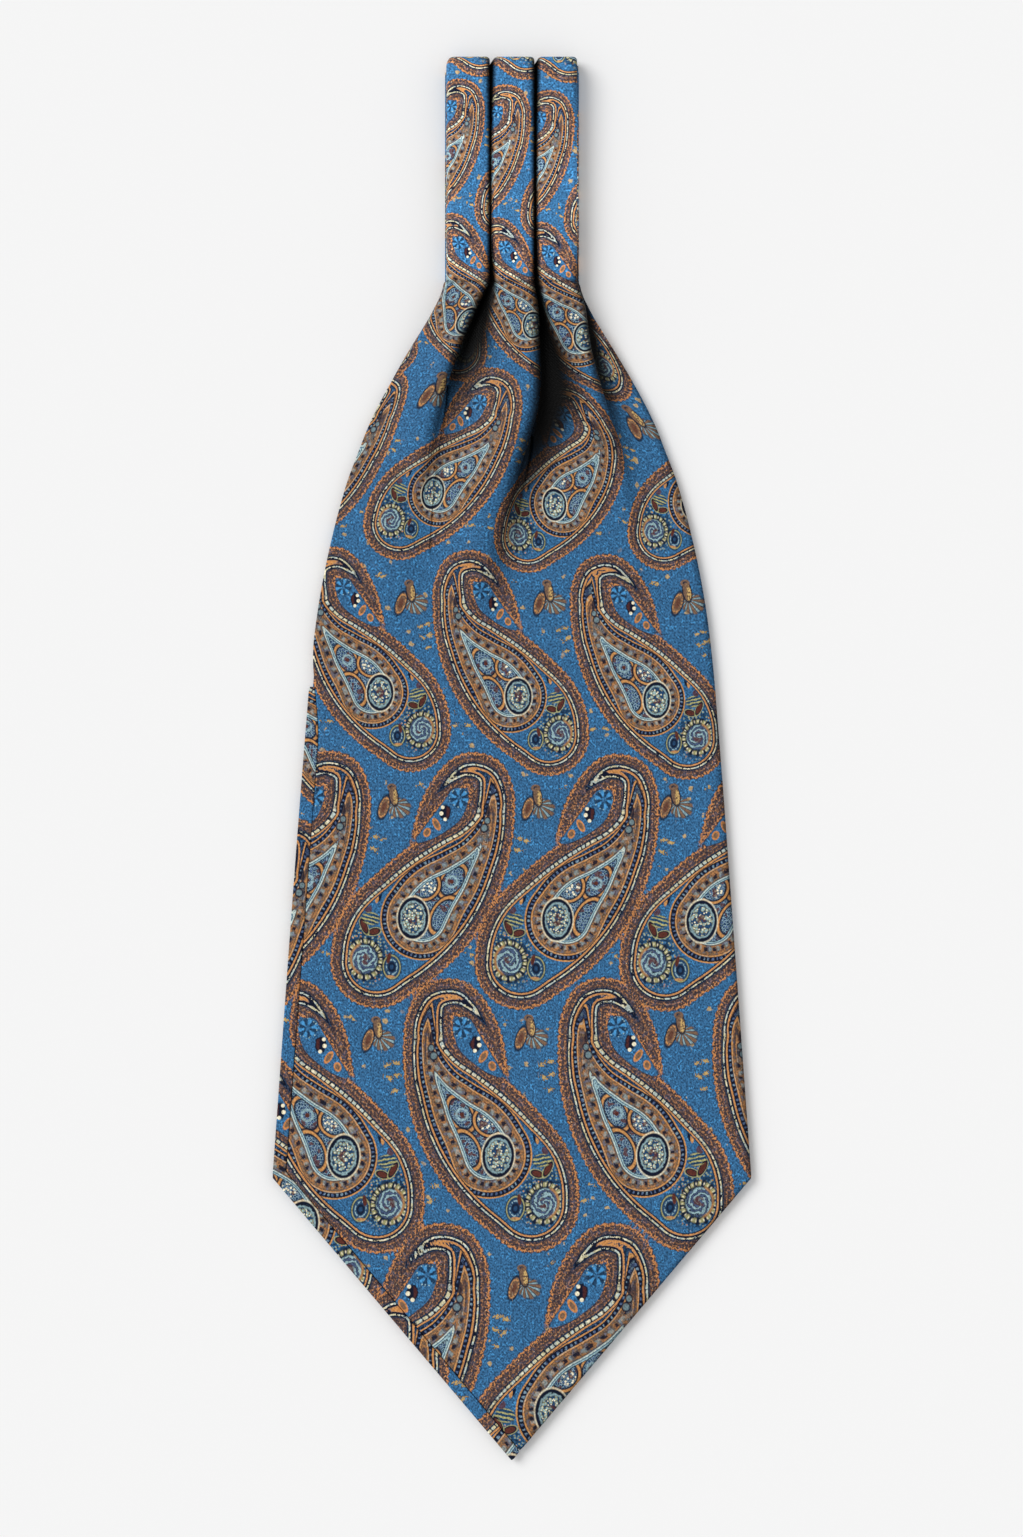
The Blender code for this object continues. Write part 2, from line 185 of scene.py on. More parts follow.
def pleat_sections(down, left_x, right_x):
    """x and height above the base, a row for each place down the blade, walked from left to right.

    A turn of angle a and radius r moves r·sin(a) on and r·(1 - cos(a)) down; a run of length u at that
    angle moves u·cos(a) on and u·sin(a) down; the turn back mirrors the first.
    """
    down, left_x, right_x = (np.asarray(v, float)[:, None] for v in (down, left_x, right_x))
    opened = ease(down / PLEATS_OPEN_DOWN)
    xs, heights = [], []
    start_x = climb_x = left_x
    for number, table in enumerate(PLEATS):
        edge_x, degrees, turn, run = (read(table["down"], table[c], down) for c in table.dtype.names[1:])
        angle = np.radians(np.maximum(degrees, LEAST_TURN_DEG))
        radius = turn / angle
        ridge_x = edge_x - CLOTH / 2 - radius * np.sin(np.minimum(angle, np.pi / 2))
        ridge = 2 * radius * (1 - np.cos(angle)) + run * np.sin(angle)
        t = np.linspace(0, 1, FACE_COLUMNS)[None, :-1]
        if number == 0:
            t = t * (opened + (1 - opened) * t)
            round_side = np.sqrt(1 - (1 - np.clip(t / ROUND_SIDE_SHARE, 0, 1)) ** 2)
            rise = round_side * (1 - opened) + ease(t / 0.95) * opened
        else:
            xs.append(start_x)
            heights.append(0 * start_x)
            t = t * ((1 - opened) * (0.35 + 0.65 * t) + opened)
            rise = ease(t / (0.2 + 0.75 * opened))
        xs.append(climb_x + (ridge_x - climb_x) * t)
        heights.append(ridge * rise)
        sweep = np.linspace(0, 1, TURN_COLUMNS)[None, :] * angle
        xs.append(ridge_x + radius * np.sin(sweep))
        heights.append(ridge - radius * (1 - np.cos(sweep)))
        back = np.linspace(0, 1, RUN_COLUMNS)[None, 1:-1]
        xs.append(ridge_x + radius * np.sin(angle) + back * run * np.cos(angle))
        heights.append(ridge - radius * (1 - np.cos(angle)) - back * run * np.sin(angle))
        start_x = ridge_x + 2 * radius * np.sin(angle) + run * np.cos(angle)
        xs.append(start_x - radius * np.sin(sweep[:, ::-1][:, :-1]))
        heights.append(radius * (1 - np.cos(sweep[:, ::-1][:, :-1])))
        climb_x = np.maximum(start_x + 0.02, edge_x - 0.3)
    last = np.linspace(0, 1, FACE_COLUMNS)[None, :]
    xs.append(start_x + (right_x - start_x) * last)
    heights.append(0 * last + 0 * right_x)
    return np.hstack(xs), np.hstack(heights)


neck_x, neck_height = pleat_sections([0.0], [-BAND_HALF_WIDTH], [BAND_HALF_WIDTH])
neck_arc = np.hypot(np.diff(neck_x), np.diff(neck_height)).sum()
print(f"across the neck: {neck_arc:.0f} mm of silk, {neck_x.shape[1]} columns")

# %% [markdown]
# ## The shade in the pleats
#
# A deep fold in silk is nearly black. Real cloth lies closer than a wall of even thickness can, so the
# light alone doesn't make it dark enough. A table for each pleat says how strong its shade is, how
# far it reaches on the pleat (before), how far the cloth beside it is fully dark, and how far it fades.

# %% Tables of the shade, by distance below the neck seam
SHADE_COLUMNS = [(name, float) for name in ("down", "strength", "before", "dark", "fade")]
LEFT_SHADE = np.array(
    [(-80, 1.0, 1.3, 0.7, 1.8), (-4, 1.0, 1.3, 0.7, 1.8), (0, 1.0, 1.5, 1.1, 1.9),
     (5, 1.0, 1.7, 2.8, 2.4), (13, 1.0, 1.9, 3.6, 5.0), (19, 0.98, 1.9, 3.6, 8.6),
     (27, 0.77, 2.0, 2.0, 12.0), (36, 0.42, 2.2, 1.0, 11.0), (50, 0.24, 2.5, 0.5, 10.0),
     (75, 0.0, 3.0, 0.5, 9.5)],
    dtype=SHADE_COLUMNS,
)
MIDDLE_SHADE = np.array(
    [(-80, 1.0, 1.3, 0.7, 1.8), (-4, 1.0, 1.3, 0.7, 1.8), (0, 1.0, 1.5, 0.9, 1.9),
     (8, 1.0, 1.7, 1.2, 2.3), (14, 1.0, 1.9, 1.9, 4.0), (20, 1.0, 2.0, 3.3, 6.2),
     (28, 1.0, 2.2, 4.6, 9.0), (36, 1.0, 2.4, 4.7, 12.0), (44, 0.97, 2.6, 3.9, 12.6),
     (54, 0.83, 2.8, 2.4, 11.8), (64, 0.6, 3.0, 1.0, 10.5), (78, 0.34, 3.5, 0.5, 10.0),
     (105, 0.0, 4.0, 0.5, 10.0)],
    dtype=SHADE_COLUMNS,
)
RIGHT_SHADE = np.array(
    [(-80, 0.5, 1.6, 0.3, 0.8), (-4, 0.5, 1.6, 0.3, 0.8), (0, 0.75, 1.4, 0.3, 0.8),
     (8, 0.85, 1.3, 0.5, 1.6), (14, 0.92, 1.3, 0.8, 3.0), (24, 0.9, 1.5, 0.8, 4.5),
     (32, 0.7, 1.8, 0.5, 5.5), (44, 0.4, 2.0, 0.3, 6.5), (60, 0.15, 2.0, 0.3, 7.0),
     (80, 0.0, 2.0, 0.3, 7.0)],
    dtype=SHADE_COLUMNS,
)
SHADES = (LEFT_SHADE, MIDDLE_SHADE, RIGHT_SHADE)
ON_PLEAT_SHARE = 0.8
SEAM_SHADE, SEAM_SHADE_WIDTH = 0.35, 0.45
EDGE_SHADE, EDGE_SHADE_WIDTH, EDGE_SHADE_DOWN = 0.55, 1.4, 20
PRESS_SHADE, PRESS_INSET, PRESS_WIDTH = 0.22, 4.8, 0.6
BAND_LIGHT, BAND_LIGHT_FADE = 1.52, 8
print("rows of shade:", [len(shades) for shades in SHADES])


# %% The light that the silk keeps
def pleat_shade(x, y):
    """How much light the silk keeps at a place.

    On a pleat the shade is a bell curve of the distance from its edge. On the cloth that the pleat
    overhangs it is fully dark for a way, and then fades. The square makes it deepen as the eye sees it.
    The silk also darkens at the seam, where it turns down at its right edge, and along the line that
    the point's hem is pressed on. The band catches more light than the blade.
    """
    down = NECK_Y - y
    light = 1 - SEAM_SHADE * np.exp(-(down / SEAM_SHADE_WIDTH) ** 2)
    light = light * (1 + (BAND_LIGHT - 1) * ease(0.5 - down / BAND_LIGHT_FADE))
    from_edge = outline_half_width(y) - x
    at_edge = np.exp(-(np.maximum(from_edge, 0) / EDGE_SHADE_WIDTH) ** 2)
    light = light * (1 - EDGE_SHADE * at_edge * (down > EDGE_SHADE_DOWN))
    from_hem = from_edge * POINT_LENGTH / np.hypot(POINT_LENGTH, BLADE_WIDTH / 2)
    pressed = np.exp(-((from_hem - PRESS_INSET) / PRESS_WIDTH) ** 2)
    light = light * (1 - PRESS_SHADE * pressed * (y < CORNER_Y))
    for table, shades in zip(PLEATS, SHADES):
        away = x - read(table["down"], table["edge_x"], down)
        columns = shades.dtype.names[1:]
        strength, before, dark, fade = (read(shades["down"], shades[c], down) for c in columns)
        on_pleat = ON_PLEAT_SHARE * np.exp(-(away / before) ** 2)
        overhung = 1 - ease((away - dark) / fade)
        light = light * (1 - strength * np.where(away < 0, on_pleat, overhung)) ** 2
    return light


deepest = pleat_shade(MIDDLE_PLEAT["edge_x"] + 1.0, NECK_Y - MIDDLE_PLEAT["down"])
print("light kept beside the middle pleat:", np.round(deepest, 2).tolist())

# %% [markdown]
# ## A wall of cloth round a surface
#
# Silk over its interlining is about a millimetre thick, with rounded rims. The middle surface is a
# grid of points. Its normals move a copy up and a copy down by half the thickness, and a half round
# of points joins the two along the border, so every piece is one closed skin.

# %% Grid to closed cloth, and the mesh that holds it
RIM_STEPS = 4
FLAT_END_REACH = 0.02


def normals_of(grid, flat_ends):
    """Unit normals: the cross product of the steps down and across. A flat end keeps them upright."""
    across = np.gradient(grid, axis=1)
    along = np.gradient(grid, axis=0)
    for row in flat_ends:
        along[row] = (0, -1, 0)
    normals = np.cross(along, across)
    return normals / np.linalg.norm(normals, axis=2, keepdims=True)


def cloth_wall(grid, flat_ends=(), thickness=CLOTH):
    """Points, quads, and for each point the number of the grid point it was moved from."""
    rows, columns = grid.shape[:2]
    count = rows * columns
    middle, normal = grid.reshape(-1, 3), normals_of(grid, flat_ends).reshape(-1, 3)
    index = np.arange(count).reshape(rows, columns)
    loop = np.concatenate([index[0, :-1], index[:-1, -1], index[-1, :0:-1], index[:0:-1, 0]])
    inner = np.concatenate([index[1, :-1], index[:-1, -2], index[-2, :0:-1], index[:0:-1, 1]])
    outward = middle[loop] - middle[inner]
    outward /= np.linalg.norm(outward, axis=1, keepdims=True)
    reach = np.full(len(loop), RIM * thickness)
    for row in flat_ends:
        reach[np.isin(loop, index[row])] = FLAT_END_REACH
    points = [middle + normal * thickness / 2, middle - normal * thickness / 2]
    source = [np.arange(count), np.arange(count)]
    rings = [loop]
    for step in range(1, RIM_STEPS):
        angle = np.pi * step / RIM_STEPS
        points.append(middle[loop] + outward * (reach * np.sin(angle))[:, None]
                      + normal[loop] * np.cos(angle) * thickness / 2)
        source.append(loop)
        rings.append(2 * count + (step - 1) * len(loop) + np.arange(len(loop)))
    rings.append(loop + count)
    corners = [index[:-1, :-1], index[1:, :-1], index[1:, 1:], index[:-1, 1:]]
    quads = np.stack(corners, axis=-1).reshape(-1, 4)
    faces = [quads, quads[:, ::-1] + count]
    for upper, lower in zip(rings[:-1], rings[1:]):
        faces.append(np.column_stack([upper, np.roll(upper, -1), np.roll(lower, -1), lower]))
    return np.vstack(points), np.vstack(faces).tolist(), np.concatenate(source)


def new_piece(name, points, faces, place, stands_for, rows, shade=1.0):
    """A smooth mesh from millimetres, with its print fields as attributes, riding where its solid does."""
    mesh = bpy.data.meshes.new(name)
    mesh.from_pydata((points * MM).tolist(), [], faces)
    mesh.shade_smooth()
    fields = print_fields(place, rows)
    fields["pleat_shade"] = np.broadcast_to(np.reshape(shade, (-1, 1)), (len(points), 3))
    for field, values in fields.items():
        attribute = mesh.attributes.new(field, "FLOAT_VECTOR", "POINT")
        attribute.data.foreach_set("vector", values.astype(np.float32).ravel())
    piece = bpy.data.objects.new(name, mesh)
    bpy.context.scene.collection.objects.link(piece)
    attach(piece, "root")
    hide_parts(stands_for)
    print(f"{name}: {len(points)} points, {len(faces)} faces")
    return piece


# %% [markdown]
# ## The paisley
#
# A paisley is a comma: a round end, a narrowing body, a hooked tip. A disc rolled along a bent line
# while its radius changes covers exactly that form, so the print needs only the line and the radii.
# The print is then made of lines that keep the same distance from the comma's edge, as on printed
# silk. All sizes here are in print units of 0.3167 mm, the size of the second row of motifs.

# %% The comma, its inner teardrop and the lobe in its hook, as discs along a line
UNIT = 0.316667
DISCS = [("x", float), ("y", float), ("radius", float)]
COMMA = np.array(
    [(59, -80.5, 0.8), (52, -66.5, 4.5), (45, -50.5, 7.6), (36, -35.5, 10), (25, -23.5, 12.6),
     (11, -15, 15), (-6, -19.5, 17), (-10.5, -34, 19.8), (-9, -58, 22.8), (2, -84, 31), (16, -103, 40),
     (36, -127, 48.5), (53, -146, 51), (70, -163, 50), (78.5, -174, 46), (85, -186, 40.5)],
    dtype=DISCS,
)
TEARDROP = np.array(
    [(-10.6, -21, 1.3), (-12.5, -42.5, 7.6), (-8.5, -67, 11.2), (2, -89.5, 17.3), (19, -111.5, 27.2),
     (36, -129, 34.4), (46.3, -146.5, 36.9)],
    dtype=DISCS,
)
LOBE = np.array(
    [(18, -40, 9), (24, -52, 10.5), (32, -61, 9), (42, -70.5, 6.3), (51.6, -78, 2.6)], dtype=DISCS
)
FLECKS = np.array(
    [(-44, -76), (-37, -73.5), (-41.6, -87), (-35.5, -84), (-36.7, -97.3), (134.4, -162), (133, -166.5),
     (138.6, -176), (129.7, -179.7), (3.5, -175.3), (52.5, -27.8), (57, -29.6)],
    dtype=[("x", float), ("y", float)],
)
FIELD_X = np.arange(-48, 146.0)
FIELD_Y = np.arange(-248, 18.0)
FAR = 30.0


def spread(discs, count=90):
    """The same line with discs close together, evenly along its length."""
    line = np.column_stack([discs["x"], discs["y"]])
    length = np.concatenate([[0], np.cumsum(np.linalg.norm(np.diff(line, axis=0), axis=1))])
    at = np.linspace(0, length[-1], count)
    return np.column_stack([read(length, discs[c], at) for c in ("x", "y", "radius")])


def edge_fields(discs):
    """Signed distance to the edge (less than 0 inside), and the distance travelled along that edge."""
    chain = spread(discs)
    x, y = np.meshgrid(FIELD_X, FIELD_Y)
    reach = np.hypot(x[..., None] - chain[:, 0], y[..., None] - chain[:, 1]) - chain[:, 2]
    distance = reach.min(axis=2)
    heading = np.gradient(chain[:, :2], axis=0)
    heading /= np.linalg.norm(heading, axis=1, keepdims=True)
    side = np.column_stack([-heading[:, 1], heading[:, 0]])
    left = chain[:, :2] + side * chain[:, 2:]
    right = chain[:, :2] - side * chain[:, 2:]
    turn = np.linspace(0, np.pi, 60)[1:-1, None]
    cap = chain[-1, :2] + chain[-1, 2] * (side[-1] * np.cos(turn) + heading[-1] * np.sin(turn))
    edge = np.vstack([left, cap, right[::-1]])
    step = np.gradient(edge, axis=0)
    step /= np.linalg.norm(step, axis=1, keepdims=True)
    travelled = np.concatenate([[0], np.cumsum(np.linalg.norm(np.diff(edge, axis=0), axis=1))])
    away_x, away_y = x[..., None] - edge[:, 0], y[..., None] - edge[:, 1]
    near = np.hypot(away_x, away_y).argmin(axis=2)[..., None]
    ahead_x = np.take_along_axis(away_x, near, 2)[..., 0] * step[near[..., 0], 0]
    ahead_y = np.take_along_axis(away_y, near, 2)[..., 0] * step[near[..., 0], 1]
    return distance, travelled[near[..., 0]] + ahead_x + ahead_y


comma_distance, comma_travel = edge_fields(COMMA)
teardrop_distance, teardrop_travel = edge_fields(TEARDROP)
lobe_distance, _ = edge_fields(LOBE)
inside = comma_distance < 0
comma_width, comma_height = np.ptp(FIELD_X[inside.any(axis=0)]), np.ptp(FIELD_Y[inside.any(axis=1)])
print(f"comma: {comma_width:.0f} by {comma_height:.0f} units")

# %% [markdown]
# ## Where the motifs fall
#
# The motifs stand in rows, and each row is the mirror of the one above. They grow a little towards
# the point. A motif is set on the flat silk before it is pleated: its top, its foot and its
# neighbour's distance are enough to place a whole row. Between the pleats the cloth is pulled down or
# turned a little, so single motifs of the fourth row have rows of their own. The blade is a cut of its
# own too: below the seam its shoulder has other rows than the band.

# %% Rows of motifs on the flat silk, in millimetres
ROWS = np.array(
    [(269.6, 214.0, 23.0, -16.2, 31.0, -1.0, 7), (213.0, 164.4, -21.3, -0.7, 31.0, -1.8, 7),
     (171.0, 117.8, 22.6, -6.4, 31.0, -1.4, 7), (123.2, 63.1, -37.3, -45.0, 41.6, 0.0, 3),
     (120.0, 58.7, -31.4, 33.2, 40.6, 0.0, 1), (119.7, 59.8, -36.9, 81.0, 40.6, 0.0, 1),
     (66.0, -5.9, 30.1, -15.2, 43.8, -1.2, 7), (2.0, -79.5, -37.0, -10.0, 45.7, -0.5, 5),
     (-69.5, -157.3, 30.1, -21.2, 49.0, 0.3, 5), (-147.0, -240.6, -36.0, -20.4, 53.6, 0.0, 5)],
    dtype=[("top_y", float), ("foot_y", float), ("lean_x", float), ("top_x", float), ("apart", float),
           ("drop", float), ("count", int)],
)
SHOULDER_ROWS = np.array(
    [(172.4, 119.2, 22.6, -37.4, 31.0, -1.4, 3), (169.6, 113.0, 28.4, 24.6, 31.0, 0.0, 1)], dtype=ROWS.dtype
)
BLADE_ROWS = np.concatenate([SHOULDER_ROWS, ROWS[3:]])
SPRIGS = np.array(
    [(-28.6, 116.4), (51.4, 106.5), (-32.4, 51.1), (11.8, 51.1), (55.6, 51.1), (-37.7, -13.5), (7.9, -13.8),
     (51.6, -13.5), (-42.7, -87.2), (5.7, -86.6), (53.2, -85.7), (-47.0, -165.5), (3.5, -165.8)],
    dtype=[("x", float), ("y", float)],
)
TEMPLATE_FOOT = np.array([95.0, -229.0]) * UNIT
SPRIG_SIZE = 1.3


def lookup(field, x, y):
    """A field at any place, blended between the four nearest of its points."""
    column = np.clip(x - FIELD_X[0], 0, len(FIELD_X) - 1.001)
    row = np.clip(y - FIELD_Y[0], 0, len(FIELD_Y) - 1.001)
    i, j = row.astype(int), column.astype(int)
    s, t = row - i, column - j
    upper = field[i, j] * (1 - t) + field[i, j + 1] * t
    lower = field[i + 1, j] * (1 - t) + field[i + 1, j + 1] * t
    return upper * (1 - s) + lower * s


def print_fields(place, rows):
    """The print at each point of flat silk: place holds its (across, along) in millimetres."""
    count = len(place)
    outline = np.tile([FAR, 0.0, FAR], (count, 1))
    teardrop = np.tile([FAR, 0.0, 0.0], (count, 1))
    motif = np.zeros((count, 3))
    nearest = np.full(count, FAR)
    for row in rows:
        for number in range(row["count"]):
            along = number - row["count"] // 2
            top = np.array([row["top_x"] + along * row["apart"], row["top_y"] + along * row["drop"]])
            foot = np.array([row["lean_x"], row["foot_y"] - row["top_y"]])
            mirror = np.sign(row["lean_x"])
            scale = np.linalg.norm(foot) / np.linalg.norm(TEMPLATE_FOOT)
            turn = np.arctan2(foot[1], foot[0] * mirror) - np.arctan2(TEMPLATE_FOOT[1], TEMPLATE_FOOT[0])
            away = (place - top) * (mirror, 1) / (scale * UNIT)
            x = away[:, 0] * np.cos(turn) + away[:, 1] * np.sin(turn)
            y = away[:, 1] * np.cos(turn) - away[:, 0] * np.sin(turn)
            here = (x > FIELD_X[0]) & (x < FIELD_X[-1]) & (y > FIELD_Y[0]) & (y < FIELD_Y[-1])
            spot = np.flatnonzero(here)
            x, y = x[spot], y[spot]
            comma, lobe = lookup(comma_distance, x, y), lookup(lobe_distance, x, y)
            closer = np.minimum(comma, lobe) < nearest[spot]
            spot, x, y, comma, lobe = spot[closer], x[closer], y[closer], comma[closer], lobe[closer]
            nearest[spot] = np.minimum(comma, lobe)
            outline[spot] = np.column_stack([comma, lookup(comma_travel, x, y), lobe])
            drop, drop_travel = lookup(teardrop_distance, x, y), lookup(teardrop_travel, x, y)
            teardrop[spot] = np.column_stack([drop, drop_travel, 0 * x])
            motif[spot] = np.column_stack([x, y, 0 * x])
    away = place[:, None, :] - np.column_stack([SPRIGS["x"], SPRIGS["y"]])[None]
    near = np.hypot(away[..., 0], away[..., 1]).argmin(axis=1)
    sprig = np.take_along_axis(away, near[:, None, None], 1)[:, 0] / UNIT
    return {
        "outline_field": outline,
        "teardrop_field": teardrop,
        "motif_place": motif,
        "sprig_place": np.column_stack([sprig, 0 * near]),
        "silk_place": np.column_stack([place / UNIT, 0 * near]),
    }


print("motifs:", int(ROWS["count"].sum()), "sprigs:", len(SPRIGS))


# %% [markdown]
# ## The front blade
#
# The blade is the part that shows most: 373 mm of silk that leaves the neck in three pleats and ends
# in a point. Its rows run straight across down to the sides' end, and then bend to a V, so that the
# last row is the point's two edges. The print follows the cloth: the distance across is walked along
# the section, so motifs disappear into a pleat and come out again below it.

# %% The front blade's cloth
REFERENCE_COLUMN = 2 * FACE_COLUMNS + 2 * TURN_COLUMNS + RUN_COLUMNS - 14
STRAIGHT_ROWS, POINT_ROWS = 152, 180


def strip_inset(down):
    """How far the blade's left side stops short of the outline, to leave room for the edge strip."""
    return STRIP_WIDTH * ease((down - STRIP_START_DOWN) / (STRIP_FULL_DOWN - STRIP_START_DOWN))


def point_corners():
    """The front blade's own corners at the point: left, tip and right, inside the strip and the rims."""
    left = np.array([STRIP_WIDTH + RIM * CLOTH - BLADE_WIDTH / 2, CORNER_Y + STRIP_MITRE])
    right = np.array([BLADE_WIDTH / 2 - RIM * CLOTH, CORNER_Y])
    bottom = np.array([0, TIP_Y + 2 * RIM * CLOTH])
    return left, bottom + (right - bottom) * STRIP_END_SHARE, right


def walked_across(x, height):
    """Distance walked along each section, level with x at the reference column."""
    steps = np.hypot(np.diff(x, axis=1), np.diff(height, axis=1))
    walked = np.hstack([np.zeros((len(x), 1)), np.cumsum(steps, axis=1)])
    return walked - walked[:, [REFERENCE_COLUMN]] + x[:, [REFERENCE_COLUMN]]


def blade_surface():
    """The middle of the blade's cloth, and the place of each of its points on the flat silk."""
    down = np.linspace(0, STRIP_ROWS_END, STRAIGHT_ROWS)
    y = NECK_Y - SEAM_SHOWN / 2 - down
    half = outline_half_width(y)
    x, height = pleat_sections(down, strip_inset(down) + RIM * CLOTH - half, half - RIM * CLOTH)
    straight = np.dstack([x, np.broadcast_to(y[:, None], x.shape), height])
    place = np.dstack([walked_across(x, height), straight[:, :, 1]])
    left, tip, right = point_corners()
    share = np.where(x[-1] < 0, x[-1] / x[-1, 0], x[-1] / x[-1, -1])[:, None]
    corner = np.where((x[-1] < 0)[:, None], left, right)
    end = np.column_stack([tip + (corner - tip) * share, np.zeros(x.shape[1])])
    t = np.linspace(0, 1, POINT_ROWS + 1)[1:, None, None]
    point = straight[-1] + (end - straight[-1]) * t
    grid = np.concatenate([straight, point])
    grid[:, :, 2] += base_height(grid[:, :, 0], grid[:, :, 1])
    return grid, np.concatenate([place, point[:, :, :2]])


blade_grid, blade_place = blade_surface()
points, faces, source = cloth_wall(blade_grid, flat_ends=(0,))
front_silk = new_piece(
    "front_silk", points, faces, blade_place.reshape(-1, 2)[source], "front_blade",
    BLADE_ROWS, pleat_shade(points[:, 0], points[:, 1]),
)

# %% [markdown]
# ## The neckband
#
# The band is the same pleated silk with its pleats pressed flat. It keeps one section all along, and
# goes round a tight fold at the top: the section's height becomes the radius of that bend.

# %% The neckband's cloth
BAND_ROWS, BEND_ROWS = 66, 22


def band_surface():
    """The band from the surface it lies on, round its fold and down to the neck seam."""
    left_x, right_x = 0.3 + RIM * CLOTH - BAND_HALF_WIDTH, BAND_HALF_WIDTH + 0.1 - RIM * CLOTH
    x, height = pleat_sections([0.0], [left_x], [right_x])
    across = walked_across(x, height)
    reach = FOLD_INNER + CLOTH / 2 + height
    angle = np.linspace(np.pi, 0, BEND_ROWS)[:, None]
    y = np.linspace(FOLD_Y, NECK_Y + SEAM_SHOWN / 2, BAND_ROWS)[1:, None]
    bend = np.dstack([x + 0 * angle, FOLD_Y + reach * np.sin(angle), FOLD_MID_Z + reach * np.cos(angle)])
    straight = np.dstack([x + 0 * y, y + 0 * x, FOLD_MID_Z + reach + 0 * y])
    along = np.concatenate([FOLD_Y + angle * reach.max(), y])
    return np.concatenate([bend, straight]), np.dstack([across + 0 * along, along + 0 * across])


band_grid, band_place = band_surface()
points, faces, source = cloth_wall(band_grid, flat_ends=(-1,))
band_silk = new_piece(
    "band_silk", points, faces, band_place.reshape(-1, 2)[source], "neckband",
    ROWS, pleat_shade(points[:, 0], points[:, 1]),
)

# %% [markdown]
# ## The edge strip
#
# Along the left side a narrow strip of the silk is turned over and pressed, so the print on it does
# not meet the print beside it. It starts part way down the side and is mitred round the corner.

# %% The edge strip's cloth
STRIP_PRINT_SHIFT = np.array([13.0, 21.0])


def strip_surface():
    """The strip between the outline and the blade's own left edge."""
    left, tip, _ = point_corners()
    curved_rows = np.linspace(STRIP_ROWS_START, STRIP_ROWS_END, 24)
    down = np.concatenate([curved_rows, np.linspace(STRIP_ROWS_END, CORNER_DOWN, 80)[1:]])
    y = NECK_Y - SEAM_GAP / 2 - down
    apart = 2 * RIM * CLOTH + SEAM_SHOWN
    edge = strip_inset(down) + RIM * CLOTH - outline_half_width(y)
    straight_share = np.clip((down - STRIP_ROWS_END) / (CORNER_DOWN - STRIP_ROWS_END), 0, 1)
    start_x = STRIP_WIDTH + RIM * CLOTH - outline_half_width(NECK_Y - SEAM_GAP / 2 - STRIP_ROWS_END)
    edge = np.where(down > STRIP_ROWS_END, start_x + (left[0] - start_x) * straight_share, edge)
    slope = (tip - left) / np.linalg.norm(tip - left)
    outward = np.array([slope[1], -slope[0]])
    inner = np.column_stack([edge - apart, y + STRIP_MITRE * straight_share])
    inner[-1, 1] = left[1] - apart * (1 + outward[0]) / -outward[1]
    outer = np.column_stack([RIM * CLOTH - outline_half_width(y), y])
    outer[-1, 1] = CORNER_Y
    t = np.linspace(0, 1, 90)[1:, None]
    outer = np.vstack([outer, outer[-1] + (np.array([0, TIP_Y + 2 * RIM * CLOTH]) - outer[-1]) * t])
    inner = np.vstack([inner, inner[-1] + (tip + outward * apart - inner[-1]) * t])
    flat = outer[:, None, :] + (inner - outer)[:, None, :] * np.linspace(0, 1, 8)[None, :, None]
    return np.dstack([flat, base_height(flat[:, :, 0], flat[:, :, 1])]), flat + STRIP_PRINT_SHIFT


strip_grid, strip_place = strip_surface()
points, faces, source = cloth_wall(strip_grid)
strip_silk = new_piece(
    "strip_silk", points, faces, strip_place.reshape(-1, 2)[source], "side_facing", ROWS
)

# %% [markdown]
# ## The layers underneath
#
# The rear blade and the rest of the band are hidden, but for their edges. They are one rounded body
# with a groove between each two layers of cloth, flat where it rests on the table.

# %% The hidden layers' cloth
def hidden_rings(y):
    """Rings round the hidden layers: flat below, grooved at both sides, lifted where the band lies."""
    y = y[:, None]
    band = 1 - ease((NECK_Y - y) / HIDDEN_RISE_DOWN)
    half = outline_half_width(y) - REAR_INSET
    half = half + (BAND_HALF_WIDTH + HIDDEN_PEEK - half) * band
    across = np.sin(np.linspace(-1, 1, 41) * np.pi / 2)[None] * (half - HIDDEN_GROOVE)
    fade = 1 - ease((NECK_Y - y) / LIFT_END_DOWN)
    shoulder = 1 - ease((np.abs(across) - LIFT_HALF_WIDTH) / LIFT_SHOULDER)
    top = REAR_BLADE + HIDDEN_FILL * (NECK_Z - LOW_Z) * fade * shoulder
    level = np.linspace(0, 1, 10 * HIDDEN_LAYERS + 1)[None, 1:-1]
    bulge = HIDDEN_GROOVE * (1 - np.abs(np.sin(level * HIDDEN_LAYERS * np.pi)) ** 0.6)
    side_x, side_z = half - bulge, top[:, [0]] * level
    ring_x = np.hstack([across, side_x, across[:, ::-1], -side_x[:, ::-1]])
    ring_z = np.hstack([0 * across, side_z, top[:, ::-1], side_z[:, ::-1]])
    return np.dstack([ring_x, y + 0 * ring_x, ring_z])


